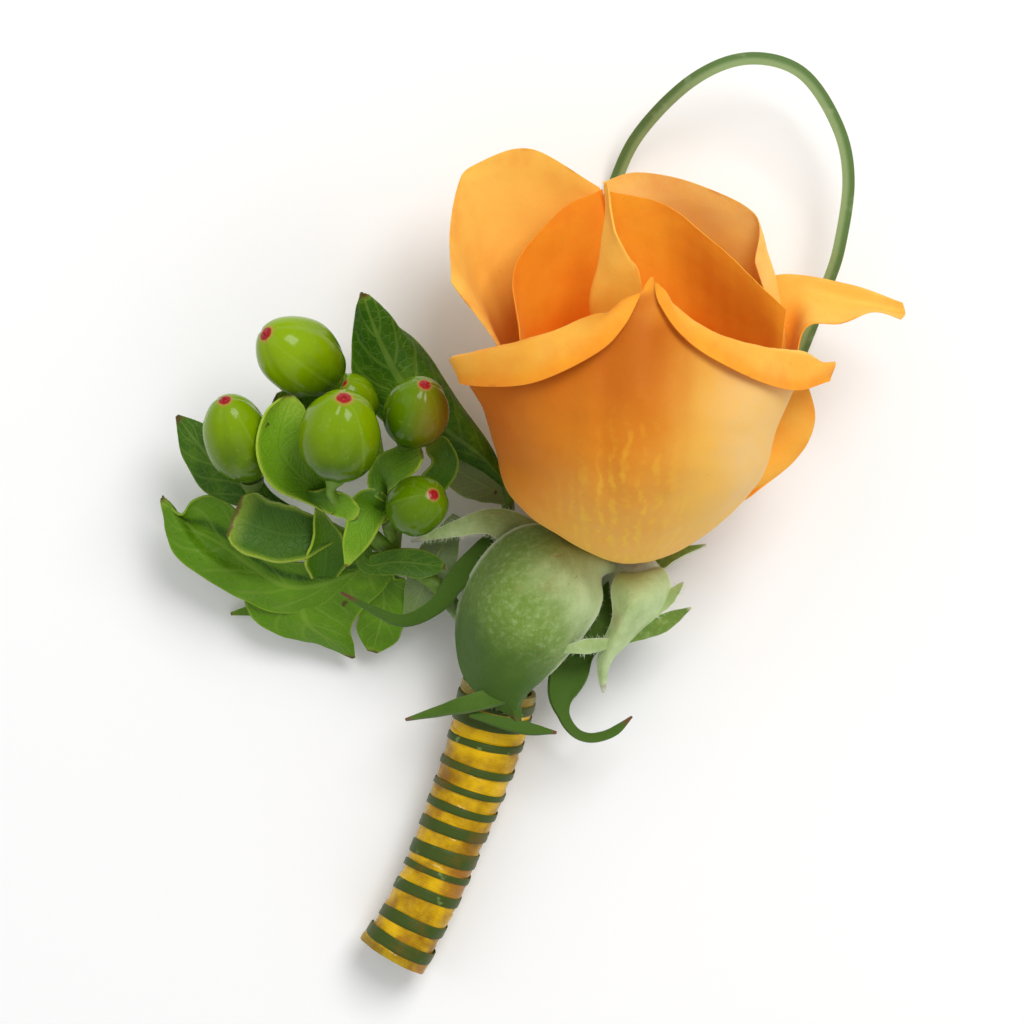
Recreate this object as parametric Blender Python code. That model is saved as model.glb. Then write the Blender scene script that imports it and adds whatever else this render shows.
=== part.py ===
"""A buttonhole flower lying on a table: a half-open rose, a spray of hypericum and a loop of grass,
bound into one short handle with ribbon and a wound blade of grass.

Lengths in this file are millimetres, and every mesh is built in metres. +Z is up, the table is z = 0,
and the origin is on the table under the middle of the flower's box. The tables of places below are
drawn from another point, and DRAWING_SHIFT carries them to the origin.
"""

import math

import bmesh
import bpy
import numpy as np

MM = 0.001
DRAWING_SHIFT = (0.35, -1.3, 0.0)
GAP = 0.3                    # clear space kept between two neighbouring pieces
PETAL_THICKNESS = 0.7
LEAF_THICKNESS = 0.6
WELD = 0.002                 # corners nearer than this become one
NARROW = 1.5                 # a leaf flattens where its half width falls below this

# The rose: its petals stand on this point, round an axis that rises from the table towards +Y.
ROSE_FOOT = (12.0, -2.0, 9.0)
ROSE_TILT = 25
ROSE_LEAN = 1
FOOT_SHARE = 0.4             # a petal's spread at its foot, as a share of its full spread
WIDE_AT = 22.0               # how far from its foot a petal reaches its full spread
HIP_RADIUS = 4.2
HIP_LENGTH = 9.4
ROSE_STEM_RADIUS = 1.6

# The handle: stems side by side in a ribbon tube, with a blade of grass wound round it.
HANDLE_SPINE = [(-17.0, -52.0, 4.9), (-14.2, -47.0, 4.9), (-11.8, -42.0, 4.9), (-9.6, -36.5, 5.1),
                (-6.6, -28.5, 5.8), (-5.0, -23.0, 6.6), (-4.0, -19.0, 7.4)]
RIBBON_RADIUS = 3.75
RIBBON_WALL = 0.6
RIBBON_FLARE = 0.5
RIBBON_SWELL = 0.45          # how much wider the handle is at the flower
WINDING_WIDTH = 1.2
WINDING_CLEARANCE = 0.45     # from the ribbon to the winding's corners
WINDING_THICKNESS = 0.6
WINDING_TAIL = 3             # how many tenths of a turn the blade goes on at either end
WINDING_STEP = 0.1           # how far each turn lies square to the handle on top and climbs underneath
# how far along the handle each turn of the winding crosses its upper side, from the flower down
WINDING_TURNS = [0.05, 0.11, 0.20, 0.29, 0.37, 0.435, 0.51, 0.60, 0.67, 0.75, 0.86, 0.95]

# Where each stem lies in the handle: sideways and upwards from its spine.
ROSE_STEM_PLACE = (1.2, 0.0)
SPRAY_STEM_PLACE = (-1.95, 0.0)
GRASS_PLACES = [(-0.95, 1.9), (-0.95, -1.9)]
SPRAY_STEM_RADIUS = 0.95

BLOOM_ORANGE = (0.94, 0.42, 0.09)
CALYX_GREEN = (0.36, 0.43, 0.19)
LEAF_GREEN = (0.10, 0.21, 0.03)
BERRY_GREEN = (0.22, 0.38, 0.03)
GRASS_GREEN = (0.10, 0.19, 0.06)
RIBBON_YELLOW = (0.80, 0.48, 0.02)


# ------------------------------------------------------------------ curves and frames

def unit(vectors):
    vectors = np.asarray(vectors, float)
    return vectors / np.maximum(np.linalg.norm(vectors, axis=-1, keepdims=True), 1e-9)


def eased(x):
    """0 below 0, 1 above 1, and a smooth rise between."""
    x = np.clip(x, 0, 1)
    return x * x * (3 - 2 * x)


def keyed(x, keys):
    """The value at x of a smooth curve through (place, value) keys that never overshoots them."""
    places = np.array([key[0] for key in keys], float)
    values = np.array([key[1] for key in keys], float)
    slopes = np.diff(values) / np.diff(places)
    tangents = np.concatenate([slopes[:1], np.zeros(len(keys) - 2), slopes[-1:]])
    for i in range(1, len(keys) - 1):
        before, after = slopes[i - 1], slopes[i]
        if before * after > 0:
            tangents[i] = 2 * before * after / (before + after)
    x = np.clip(x, places[0], places[-1])
    i = np.clip(np.searchsorted(places, x, side="right") - 1, 0, len(keys) - 2)
    width = places[i + 1] - places[i]
    t = (x - places[i]) / width
    return ((1 + 2 * t) * (1 - t) ** 2 * values[i] + t * (1 - t) ** 2 * width * tangents[i]
            + t * t * (3 - 2 * t) * values[i + 1] + t * t * (t - 1) * width * tangents[i + 1])


def smooth_path(points, steps):
    """steps + 1 places evenly spread on a smooth curve through the points."""
    p = np.array(points, float)
    p = np.vstack([2 * p[0] - p[1], p, 2 * p[-1] - p[-2]])
    lengths = np.linalg.norm(np.diff(p[1:-1], axis=0), axis=1)
    marks = np.concatenate([[0], np.cumsum(lengths)])
    path = []
    for mark in np.linspace(0, marks[-1], steps + 1):
        i = int(np.clip(np.searchsorted(marks, mark, side="right") - 1, 0, len(lengths) - 1))
        t = (mark - marks[i]) / lengths[i]
        a, b, c, d = p[i:i + 4]
        path.append(0.5 * (2 * b + (c - a) * t + (2 * a - 5 * b + 4 * c - d) * t ** 2
                           + (3 * b - a - 3 * c + d) * t ** 3))
    return np.array(path)


def frames_along(path, up):
    """Forward, sideways and upward unit vectors at each place of a path."""
    forward = unit(np.gradient(path, axis=0))
    up = np.broadcast_to(np.asarray(up, float), path.shape)
    upward = unit(up - (up * forward).sum(1)[:, None] * forward)
    return forward, np.cross(forward, upward), upward


def rose_frame():
    """The rose's right, front and axis directions."""
    tilt, lean = math.radians(ROSE_TILT), math.radians(ROSE_LEAN)
    axis = np.array([math.sin(lean) * math.cos(tilt), math.cos(lean) * math.cos(tilt), math.sin(tilt)])
    right = np.array([math.cos(lean), -math.sin(lean), 0.0])
    return right, np.cross(right, axis), axis


def rose_place(forward):
    """The point on the rose's axis that lies this far in front of its foot."""
    return np.array(ROSE_FOOT) + forward * rose_frame()[2]


# ------------------------------------------------------------------ thin sheets as grids of points

def petal_grid(azimuth, spread, rim, lean, foot, across=7, along=8):
    """A petal's middle surface, curving out from the rose's axis.

    azimuth and spread are degrees round the axis, from its front over its right. rim gives the petal's
    length against u, from -1 at its left edge to 1, and lean its angle from the axis against the length.
    """
    u = np.linspace(-1, 1, across + 1)[:, None]
    reach = keyed(u[:, 0], rim)[:, None]
    length = reach * np.linspace(0, 1, along + 1)[None, :]
    angle = keyed(length, lean)
    angle = np.radians((angle[:, 1:] + angle[:, :-1]) / 2)
    start = np.zeros((across + 1, 1))
    radius = foot + np.concatenate([start, np.cumsum(np.sin(angle) * reach / along, 1)], 1)
    height = np.concatenate([start, np.cumsum(np.cos(angle) * reach / along, 1)], 1)
    widening = FOOT_SHARE + (1 - FOOT_SHARE) * eased(length / WIDE_AT)
    around = np.radians(azimuth + u * spread * widening)
    right, front, axis = rose_frame()
    outward = np.cos(around)[..., None] * front + np.sin(around)[..., None] * right
    return np.array(ROSE_FOOT) + radius[..., None] * outward + height[..., None] * axis


def ribbed_grid(ribs, across, along):
    """A surface through ribs, each a row of points from the sheet's foot to its tip or rim."""
    rows = np.array([smooth_path(rib, along) for rib in ribs])
    return np.stack([smooth_path(rows[:, j], across) for j in range(along + 1)], 1)


def leaf_grid(spine, outline, up, cup=0.0, cup_tip=None, fold=0.0, left=1.0, right=1.0, wave=(0, 3, 0),
              across=4, along=7):
    """A leaf's middle surface.

    spine is its midrib and outline its half width against the share of its length. up is the side it
    turns to the light. cup bends each half towards up and fold stands it up from the midrib, in degrees.
    left and right scale the halves, and wave is the height, count and start of the waves in its edge.
    """
    path = smooth_path(spine, along)
    _, sideways, upward = frames_along(path, up)
    share = np.linspace(0, 1, along + 1)
    half = keyed(share, outline)[None]
    u = np.linspace(-1, 1, across + 1)[:, None]
    distance = half * np.abs(u) * np.where(u < 0, left, right)
    cup_tip = cup if cup_tip is None else cup_tip
    bend = np.radians(cup + (cup_tip - cup) * share)
    bend = np.where(np.abs(bend) < 1e-3, 1e-3, bend)[None] / np.maximum(half, NARROW)
    out, rise = np.sin(bend * distance) / bend, (1 - np.cos(bend * distance)) / bend
    lift = np.radians(fold) * eased(half / NARROW - 0.4)
    out, rise = out * np.cos(lift) - rise * np.sin(lift), out * np.sin(lift) + rise * np.cos(lift)
    height, count, start = wave
    ripple = np.sin(math.pi * (count * share[None] + start + 0.35 * np.sign(u)))
    rise = rise + height * ripple * u ** 2 * np.sin(math.pi * share)[None]
    out = out * np.sign(u)
    return path[None] + out[..., None] * sideways[None] + rise[..., None] * upward[None]


# ------------------------------------------------------------------ closed solids: (points, faces)

def sheet_solid(grid, thickness):
    """A sheet of even thickness. Both of its faces are split into triangles alike."""
    rows, columns = grid.shape[:2]
    normal = unit(np.cross(np.gradient(grid, axis=0), np.gradient(grid, axis=1)))
    points = np.concatenate([(grid + normal * thickness / 2).reshape(-1, 3),
                             (grid - normal * thickness / 2).reshape(-1, 3)])
    back = rows * columns
    faces = []
    for i in range(rows - 1):
        for j in range(columns - 1):
            a, b = i * columns + j, (i + 1) * columns + j
            faces += [(a, b, b + 1), (a, b + 1, a + 1)]
            faces += [(back + a, back + b + 1, back + b), (back + a, back + a + 1, back + b + 1)]
    rim = [i * columns for i in range(rows)]
    rim += [(rows - 1) * columns + j for j in range(1, columns)]
    rim += [i * columns + columns - 1 for i in range(rows - 2, -1, -1)]
    rim += [j for j in range(columns - 2, 0, -1)]
    for a, b in zip(rim, rim[1:] + rim[:1]):
        faces += [(b, a, back + a), (b, back + a, back + b)]
    return points, faces


def tube_solid(points, radii, sides, up=(0, 0, 1)):
    """A round rod along the points, with a radius at each, closed at both ends."""
    points = np.array(points, float)
    _, sideways, upward = frames_along(points, up)
    turn = 2 * math.pi * np.arange(sides) / sides
    radii = np.broadcast_to(np.asarray(radii, float), len(points))
    ring = np.cos(turn)[None, :, None] * sideways[:, None] + np.sin(turn)[None, :, None] * upward[:, None]
    grid = points[:, None] + radii[:, None, None] * ring
    return close_rings(grid)


def close_rings(grid):
    """The solid between rings of points, with a fan over the first and the last ring."""
    rings, sides = grid.shape[:2]
    points = np.concatenate([grid.reshape(-1, 3), [grid[0].mean(0)], [grid[-1].mean(0)]])
    first, last = rings * sides, rings * sides + 1
    faces = []
    for i in range(rings - 1):
        for j in range(sides):
            a, b = i * sides + j, i * sides + (j + 1) % sides
            faces += [(a, b, b + sides), (a, b + sides, a + sides)]
    for j in range(sides):
        k = (j + 1) % sides
        faces += [(first, k, j), (last, (rings - 1) * sides + j, (rings - 1) * sides + k)]
    return points, faces


def turned_solid(centre, direction, profile, sides):
    """A body turned round an axis. profile holds (place along the axis, radius) pairs."""
    forward = unit(direction)
    helper = (1, 0, 0) if abs(forward[0]) < 0.8 else (0, 1, 0)
    sideways = unit(np.cross(helper, forward))
    upward = np.cross(forward, sideways)
    turn = 2 * math.pi * np.arange(sides) / sides
    ring = np.cos(turn)[:, None] * sideways + np.sin(turn)[:, None] * upward
    grid = np.array([np.array(centre) + place * forward + radius * ring for place, radius in profile])
    return close_rings(grid)


def pipe_solid(points, outer, inner, sides):
    """A round tube along the points, open at both ends."""
    _, sideways, upward = frames_along(points, (0, 0, 1))
    turn = 2 * math.pi * np.arange(sides) / sides
    ring = np.cos(turn)[None, :, None] * sideways[:, None] + np.sin(turn)[None, :, None] * upward[:, None]
    walls = [points[:, None] + radii[:, None, None] * ring for radii in (outer, inner)]
    count = len(points)
    faces = []
    for j in range(sides):
        k = (j + 1) % sides
        for i in range(count - 1):
            a, b = i * sides + j, i * sides + k
            faces += [(a, b, b + sides), (a, b + sides, a + sides)]
            a, b = a + count * sides, b + count * sides
            faces += [(a, b + sides, b), (a, a + sides, b + sides)]
        last = (count - 1) * sides
        inside = count * sides
        faces += [(j, inside + j, inside + k), (j, inside + k, k)]
        faces += [(last + j, last + k, inside + last + k), (last + j, inside + last + k, inside + last + j)]
    return np.concatenate([wall.reshape(-1, 3) for wall in walls]), faces


# ------------------------------------------------------------------ Blender objects

def material(name, colour, roughness):
    made = bpy.data.materials.new(name)
    made.use_nodes = True
    shader = made.node_tree.nodes["Principled BSDF"]
    shader.inputs["Base Color"].default_value = (*colour, 1.0)
    shader.inputs["Roughness"].default_value = roughness
    shader.inputs["Metallic"].default_value = 0.0
    return made


def mesh_object(name, solid):
    """A Blender object of a solid given in millimetres, with its faces turned outward."""
    points, faces = solid
    mesh = bpy.data.meshes.new(name)
    places = (np.asarray(points) + DRAWING_SHIFT) * MM
    mesh.from_pydata([tuple(place) for place in places], [], faces)
    work = bmesh.new()
    work.from_mesh(mesh)
    bmesh.ops.recalc_face_normals(work, faces=work.faces)
    work.to_mesh(mesh)
    work.free()
    made = bpy.data.objects.new(name, mesh)
    bpy.context.scene.collection.objects.link(made)
    return made


def apply_modifiers(item):
    """Replace an object's mesh by what its modifiers make of it."""
    bpy.context.view_layer.update()
    evaluated = item.evaluated_get(bpy.context.evaluated_depsgraph_get())
    mesh = bpy.data.meshes.new_from_object(evaluated)
    item.modifiers.clear()
    item.data = mesh


def combine(item, others, operation):
    """Join the others to an object, or cut them from it, and remove them."""
    group = bpy.data.collections.new("group")
    for other in others:
        bpy.context.scene.collection.objects.unlink(other)
        group.objects.link(other)
    bpy.context.scene.collection.children.link(group)
    boolean = item.modifiers.new("Boolean", "BOOLEAN")
    boolean.operation = operation
    boolean.operand_type = "COLLECTION"
    boolean.collection = group
    boolean.solver = "MANIFOLD"
    apply_modifiers(item)
    for other in others:
        bpy.data.objects.remove(other)
    bpy.data.collections.remove(group)


def islands_of(work):
    """The faces of a bmesh in connected groups."""
    left = set(work.faces)
    groups = []
    while left:
        start = left.pop()
        group, queue = [start], [start]
        while queue:
            for edge in queue.pop().edges:
                for face in edge.link_faces:
                    if face in left:
                        left.remove(face)
                        group.append(face)
                        queue.append(face)
        groups.append(group)
    return groups


def tidy_mesh(item):
    """Weld what lies together, and keep the largest body: that fills sealed hollows and drops scraps."""
    work = bmesh.new()
    work.from_mesh(item.data)
    bmesh.ops.triangulate(work, faces=work.faces)
    bmesh.ops.remove_doubles(work, verts=work.verts, dist=WELD * MM)
    bmesh.ops.dissolve_degenerate(work, dist=WELD * MM, edges=work.edges)
    bmesh.ops.triangulate(work, faces=work.faces)
    groups = sorted(islands_of(work), key=len, reverse=True)
    scraps = [face for group in groups[1:] for face in group]
    bmesh.ops.delete(work, geom=scraps, context="FACES")
    loose = [vertex for vertex in work.verts if not vertex.link_faces]
    bmesh.ops.delete(work, geom=loose, context="VERTS")
    work.to_mesh(item.data)
    work.free()


def build_node(name, solids, colour, roughness, cutters=()):
    """One named piece: its solids joined, the cutters' space taken away, and its material."""
    parts = [mesh_object(f"{name}_{i}", solid) for i, solid in enumerate(solids)]
    item = parts[0]
    item.name = name
    if len(parts) > 1:
        combine(item, parts[1:], "UNION")
        tidy_mesh(item)
    if cutters:
        combine(item, [mesh_object(f"{name}_cut_{i}", cutter) for i, cutter in enumerate(cutters)],
                "DIFFERENCE")
        tidy_mesh(item)
    item.data.name = name
    item.data.materials.clear()
    item.data.materials.append(material(name, colour, roughness))
    item.data.shade_smooth()
    item.data.set_sharp_from_angle(angle=math.radians(40))
    return item


def table_cutter():
    """The space under the table's surface, which presses a small flat spot on what lies on it."""
    low, high = (-80, -80, -20), (80, 80, 0)
    points = [(x, y, z) for x in (low[0], high[0]) for y in (low[1], high[1]) for z in (low[2], high[2])]
    faces = [(0, 1, 3, 2), (4, 6, 7, 5), (0, 4, 5, 1), (2, 3, 7, 6), (0, 2, 6, 4), (1, 5, 7, 3)]
    return points, faces


# ------------------------------------------------------------------ the rose's bloom

# each petal's ribs, side by side from one edge to the other, and each rib's points from foot to rim
PETAL_RIBS = {
    "front": dict(across=14, along=13, ribs=[
        [(9, 0, 9), (0, 6, 13), (-4, 12, 18), (-5.5, 16, 22), (-8.2, 19, 25), (-8.4, 18, 28)],
        [(9, -2.5, 11), (-1.8, 3.2, 22), (-4, 9.1, 26), (-5.8, 14.5, 29), (-9, 19.6, 31), (-7.9, 16.4, 33)],
        [(10, -3.5, 12), (2.1, .1, 25.5), (.2, 6.2, 33.5), (-1, 13.5, 37.5), (-1.4, 20.9, 39.5),
         (-.6, 16.2, 41.5)],
        [(11.5, -3.8, 12), (6.6, -2.2, 26), (5.4, 4.2, 37.5), (5, 13, 41.5), (5.8, 23.4, 42.5),
         (6.4, 19.2, 44.3)],
        [(12, -3.8, 12), (9, -2.9, 26.5), (8.2, 4, 38.3), (7.9, 13, 42.3), (9.2, 24.7, 42.6),
         (9.9, 22.6, 43.9)],
        [(12.5, -3.8, 12), (11, -3, 26.5), (10.7, 4, 39), (10.6, 13, 43), (12, 22.5, 43), (12.9, 28, 41)],
        [(13, -3.8, 12), (12.8, -2.8, 26.5), (13.4, 4.2, 38.5), (13.8, 13, 42.5), (14.2, 26.2, 42),
         (13.7, 25, 43)],
        [(13.5, -3.8, 12), (15, -2.4, 25.5), (16.2, 4.2, 37.5), (16.8, 12.5, 41.5), (16.6, 23.6, 40.7),
         (16.8, 21, 42.3)],
        [(14.5, -3.5, 12), (18.8, -1.2, 22), (22.2, 4.2, 32), (23.5, 12, 36.5), (23.7, 20.8, 37),
         (23.1, 17.4, 39)],
        [(15.5, -3, 11), (21.8, 1, 18), (26.5, 6.5, 23), (28.2, 13, 27.5), (30.4, 20.3, 30.5),
         (29.4, 15.8, 32.5)],
        [(15.8, -.8, 9), (21.5, 2.5, 13), (25, 8, 16), (26.5, 13, 21), (34.2, 19.2, 26.5), (34, 17, 27.5)]]),
    "right_low": dict(across=5, along=5, ribs=[
        [(14, -2.6, 11), (19, 0, 17), (25.4, 3.9, 20)],
        [(15, -1.6, 12), (22, 3, 20), (30.8, 8.2, 20)],
        [(15, 0, 12), (24, 8, 20), (32.8, 12.7, 22)],
        [(15, 1, 11), (23, 13, 21), (31.6, 17.5, 24)]]),
    "far_right": dict(across=4, along=10, ribs=[
        [(17, 0, 10), (27, 9, 17), (30, 17.5, 22), (31.6, 23.4, 23.5), (35.8, 24, 22.5), (39.6, 25.4, 21),
         (43.2, 24.6, 19)],
        [(17, 0.5, 9), (27.5, 12, 13), (29.5, 20, 16.5), (31.5, 26.5, 18), (36.5, 26.6, 17.5),
         (43.9, 25.4, 17)],
        [(16.5, 1, 9), (25, 14, 11), (25.5, 25, 14), (28.5, 29.9, 16.5), (37, 28.9, 17.5),
         (43.6, 26.7, 17)]]),
    "back_right": dict(across=6, along=7, ribs=[
        [(14, 0, 8), (17, 14, 9), (13, 30, 13), (8.2, 40.9, 17)],
        [(15, 0, 7.5), (21, 14, 8), (20, 30, 12), (12.4, 42, 17)],
        [(16, 0, 8), (24, 13, 9), (26, 27, 13), (19.6, 40.5, 18)],
        [(17, 0, 9), (27, 11, 11), (30, 23, 14), (26, 36.9, 19)],
        [(17, -1, 10), (28, 9, 13), (30, 18, 17), (26, 31.2, 20)]]),
    "back_left": dict(across=8, along=7, ribs=[
        [(13, 0, 8.2), (15, 14, 11.4), (13, 28, 14), (7.8, 40.2, 18)],
        [(11, 0, 7.8), (9, 15, 10), (5, 30, 13), (-.4, 44.5, 20)],
        [(9.5, 0, 8), (3, 14, 11), (-2, 28, 15), (-7, 42.5, 21)],
        [(9, 0, 9), (2, 13, 13), (-4, 26, 17), (-8.8, 39.8, 22.5)],
        [(8.5, 0, 9.5), (0, 12, 15), (-5, 24, 19), (-9.7, 34.5, 24.5)],
        [(8.5, -1, 11), (-.5, 9, 21), (-3.2, 19.5, 27), (-9.4, 28.4, 28)]]),
    "inner_left": dict(across=6, along=6, ribs=[
        [(13, 0, 10), (14, 14, 13), (11, 28, 16.5), (8, 39.8, 20)],
        [(11, 0, 10), (8, 13, 13), (5, 25, 17), (3, 36.9, 23)],
        [(10, 0, 11), (3, 11, 16), (0, 19, 21), (-2.1, 30.1, 26.5)],
        [(10, -1, 12), (2, 8, 22), (0, 13, 27), (-1.6, 22.1, 31)]]),
    "inner_middle": dict(across=3, along=8, ribs=[
        [(12, -.5, 10.5), (9, 14, 20), (6.5, 25, 25), (7.5, 31, 25.5), (8.2, 36, 25), (8.1, 39.8, 24.5)],
        [(13, -.5, 11), (11, 14, 22), (9.5, 25.5, 27.5), (9, 31, 27.5), (8.7, 36, 26), (8.3, 40, 24.8)],
        [(14, -.5, 10.5), (13.5, 14, 23), (12.3, 27.8, 30), (10.6, 31.5, 29), (9.1, 35, 27.5),
         (8.5, 40.1, 25)]]),
    "inner_right": dict(across=8, along=6, ribs=[
        [(13, 0, 10), (13, 14, 14), (10.8, 28, 18), (8.2, 39.6, 21)],
        [(14.5, 0, 10), (19, 14, 13), (18, 26, 17), (15.1, 37.8, 22)],
        [(15.5, 0, 11), (23, 12, 14.5), (23.5, 22, 18.5), (21.3, 32.9, 24)],
        [(16, 0, 11.5), (25, 10, 17), (27, 18, 21), (26.4, 27.9, 26)],
        [(16, 0, 12), (26, 8, 20), (28, 15, 24), (29.1, 25.3, 27)]]),
}
# petals that the others hide, which curve out from the rose's axis
HIDDEN_PETALS = {
    "back_low": dict(azimuth=195, spread=50, foot=2.4, across=5, rim=((-1, 33), (0, 37), (1, 33)),
                     lean=((0, 68), (9, 50), (18, 22), (27, 14), (36, 22))),
    "left_low": dict(azimuth=-90, spread=50, foot=2.2, across=4, rim=((-1, 22), (0, 24), (1, 22)),
                     lean=((0, 66), (9, 46), (18, 19), (27, 9), (36, 6))),
}
BUD_PETALS = 4
BUD_TURN = 137.5             # degrees from one petal of the bud to the next


def bud_petal(i):
    """The petals of the bud close over each other, each shorter than the one round it."""
    return dict(azimuth=20 + BUD_TURN * i, spread=85, foot=1.2, across=5, along=5,
                rim=((-1, 21 - i), (0, 27.5 - 1.2 * i), (1, 21 - i)),
                lean=((0, 58 - 4 * i), (9, 34 - 5 * i), (18, 4), (27, -22)))


def bloom_solids(thickness):
    grids = [ribbed_grid(**petal) for petal in PETAL_RIBS.values()]
    hidden = list(HIDDEN_PETALS.values()) + [bud_petal(i) for i in range(BUD_PETALS)]
    grids += [petal_grid(**petal) for petal in hidden]
    return [sheet_solid(grid, thickness) for grid in grids]


def bloom_heart():
    """The seat of the petals, which fills the bloom where they all meet."""
    profile = [(-0.5, 0.6), (-0.4, 2.2), (0.8, 3.8), (2.4, 5.6), (3.6, 6.4), (4.4, 5.0), (4.8, 2.0)]
    return turned_solid(ROSE_FOOT, rose_frame()[2], profile, 10)


def build_bloom():
    return build_node("rose_petals", [bloom_heart(), *bloom_solids(PETAL_THICKNESS)], BLOOM_ORANGE, 0.55,
                      cutters=[table_cutter()])


# ------------------------------------------------------------------ the handle

def handle_path(steps):
    return smooth_path(HANDLE_SPINE, steps)


def in_handle(place, steps=10):
    """A stem's path inside the handle, from its cut end to the flower."""
    path = handle_path(steps)
    _, sideways, upward = frames_along(path, (0, 0, 1))
    return path + place[0] * sideways + place[1] * upward


def handle_radius(share):
    """The ribbon's radius along the handle, from 0 at the cut end to 1 at the flower."""
    return RIBBON_RADIUS + RIBBON_FLARE * eased(1 - share * 9) + RIBBON_SWELL * eased((share - 0.3) / 0.7)


def build_ribbon():
    steps = 10
    path = handle_path(steps)
    outer = handle_radius(np.linspace(0, 1, steps + 1))
    solid = pipe_solid(path, outer, outer - RIBBON_WALL, 16)
    return build_node("ribbon_wrap", [solid], RIBBON_YELLOW, 0.3)


def build_winding():
    """The blade of grass goes round the ribbon once for each crossing that WINDING_TURNS lists."""
    per_turn = 10
    turns = len(WINDING_TURNS) - 1
    path = handle_path(60)
    _, sideways, upward = frames_along(path, (0, 0, 1))
    forward = unit(np.gradient(path, axis=0))
    rings = []
    for i in range(-WINDING_TAIL, turns * per_turn + WINDING_TAIL + 1):
        turn = i / per_turn
        drawn = turn - WINDING_STEP * math.sin(2 * math.pi * turn)
        share = 1 - float(keyed(drawn, list(enumerate(WINDING_TURNS))))
        at = share * (len(path) - 1)
        k = min(int(at), len(path) - 2)
        blend = at - k
        centre = path[k] + (path[k + 1] - path[k]) * blend
        side, up = sideways[k], upward[k]
        around = 2 * math.pi * turn + math.pi / 2
        outward = math.cos(around) * side + math.sin(around) * up
        inner = float(handle_radius(share)) + WINDING_CLEARANCE
        ring = [centre + radius * outward + half * forward[k]
                for radius, half in ((inner, -0.5), (inner, 0.5), (inner + WINDING_THICKNESS, 0.5),
                                     (inner + WINDING_THICKNESS, -0.5))
                for half in (half * WINDING_WIDTH,)]
        rings.append(ring)
    return build_node("grass_winding", [close_rings(np.array(rings))], GRASS_GREEN, 0.45)


# ------------------------------------------------------------------ the loop of grass

LOOP_SPINE = [(-4.2, -17.2, 9.5), (-3.1, -13.4, 6.6), (0.0, -6.0, 1.8), (3.0, 6.0, 0.6), (5.0, 20.0, 0.6),
              (7.2, 33.0, 0.7),
              (10.0, 42.0, 1.6), (13.0, 48.0, 5.5), (19.0, 53.5, 12.0), (25.5, 56.0, 13.0),
              (32.0, 54.5, 12.0), (36.5, 48.5, 10.0), (38.0, 42.0, 9.0), (37.0, 34.0, 8.0),
              (35.5, 29.0, 6.0), (32.5, 21.0, 4.0), (28.5, 12.0, 2.5), (23.0, 3.5, 1.2),
              (15.5, -4.0, 0.9), (9.0, -10.5, 0.9), (2.5, -15.4, 2.6), (-2.6, -17.2, 4.6)]
GRASS_HALF_WIDTH = 0.75


def build_loop():
    legs = [in_handle(place, 5) for place in GRASS_PLACES]
    spine = [*legs[0], *LOOP_SPINE, *legs[1][::-1]]
    outline = ((0, GRASS_HALF_WIDTH), (1, GRASS_HALF_WIDTH))
    grid = leaf_grid(spine, outline, (0, 0, 1), across=1, along=70)
    return build_node("grass_loop", [sheet_solid(grid, LEAF_THICKNESS)], GRASS_GREEN, 0.45)


# ------------------------------------------------------------------ the rose's calyx and stem

SEPALS = {
    "front_right_inner": dict(across=2, spine=[(10.5, -6.0, 9.0), (8.0, -11.0, 11.0), (6.0, -14.5, 11.0)],
                              outline=((0, 1), (.5, 1.9), (1, .4)), up=(0, 0, 1), cup=20, along=6),
    "side_lobe_left": dict(across=2, spine=[(9.5, -13.6, 13.2), (5.5, -14.0, 15.5), (2.5, -14.5, 14.5)],
                           outline=((0, .5), (.4, .9), (1, .4)), up=(0, -.3, 1), cup=-20, along=6),
    "side_lobe_right": dict(across=2, spine=[(10.8, -13.2, 12.6), (15.0, -11.5, 12.0), (19.0, -9.5, 10.0)],
                            outline=((0, .6), (.5, 1.1), (1, .4)), up=(0, .2, 1), cup=-20, along=6),
    "side_lobe_small": dict(across=2, spine=[(14.0, -10.5, 12.0), (16.5, -8.0, 11.5), (18.0, -6.5, 10.0)],
                            outline=((0, .5), (.4, .8), (1, .4)), up=(0, .2, 1), cup=-20, along=5),
    "left": dict(across=2, spine=[(9.5, -4.8, 7.0), (5.0, -3.4, 8.0), (0.0, -1.4, 9.8), (-4.5, .8, 12.4),
                                  (-9.0, 0.0, 13.5), (-14.5, -1.5, 12.0)],
                 outline=((0, 1.8), (.45, 2.3), (.7, 1.3), (1, .4)), up=(0, .2, 1), cup=-20),
    "strap": dict(across=2, spine=[(9.5, -7.0, 5.5), (2.5, -4.0, 7.0), (-3.0, -1.4, 9.6), (-8.0, -5.0, 11.6),
                         (-11.5, -9.2, 11.8), (-15.5, -11.0, 11.2), (-19.5, -9.5, 10.8), (-23.0, -7.6, 10.9)],
                  outline=((0, 1.2), (.4, 1.7), (.7, 1.0), (1, .4)), up=(-.3, .5, 1), cup=25, along=12),
    "curl": dict(spine=[(10.0, -8.0, 5.0), (5.6, -13.4, 8.2), (4.3, -16.8, 9.6), (3.3, -20.0, 10.4),
                        (3.8, -22.6, 10.6), (5.0, -24.3, 10.6), (6.5, -25.0, 10.6), (8.2, -24.9, 10.4),
                        (10.0, -24.2, 10.0), (11.9, -22.6, 9.4)],
                 outline=((0, 1.6), (.25, 2.5), (.4, 2.7), (.52, 1.9), (.64, .7), (.8, .55), (.9, .55),
                          (1, .4)),
                 up=(.3, .1, 1), cup=30, along=14),
    "back_right": dict(across=2, spine=[(13.0, -6.0, 6.0), (17.0, -3.3, 6.5), (21.0, -2.0, 6.0)],
                       outline=((0, 1.0), (.4, .9), (1, .4)), up=(0, .5, 1), cup=20, along=6),
}
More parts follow.
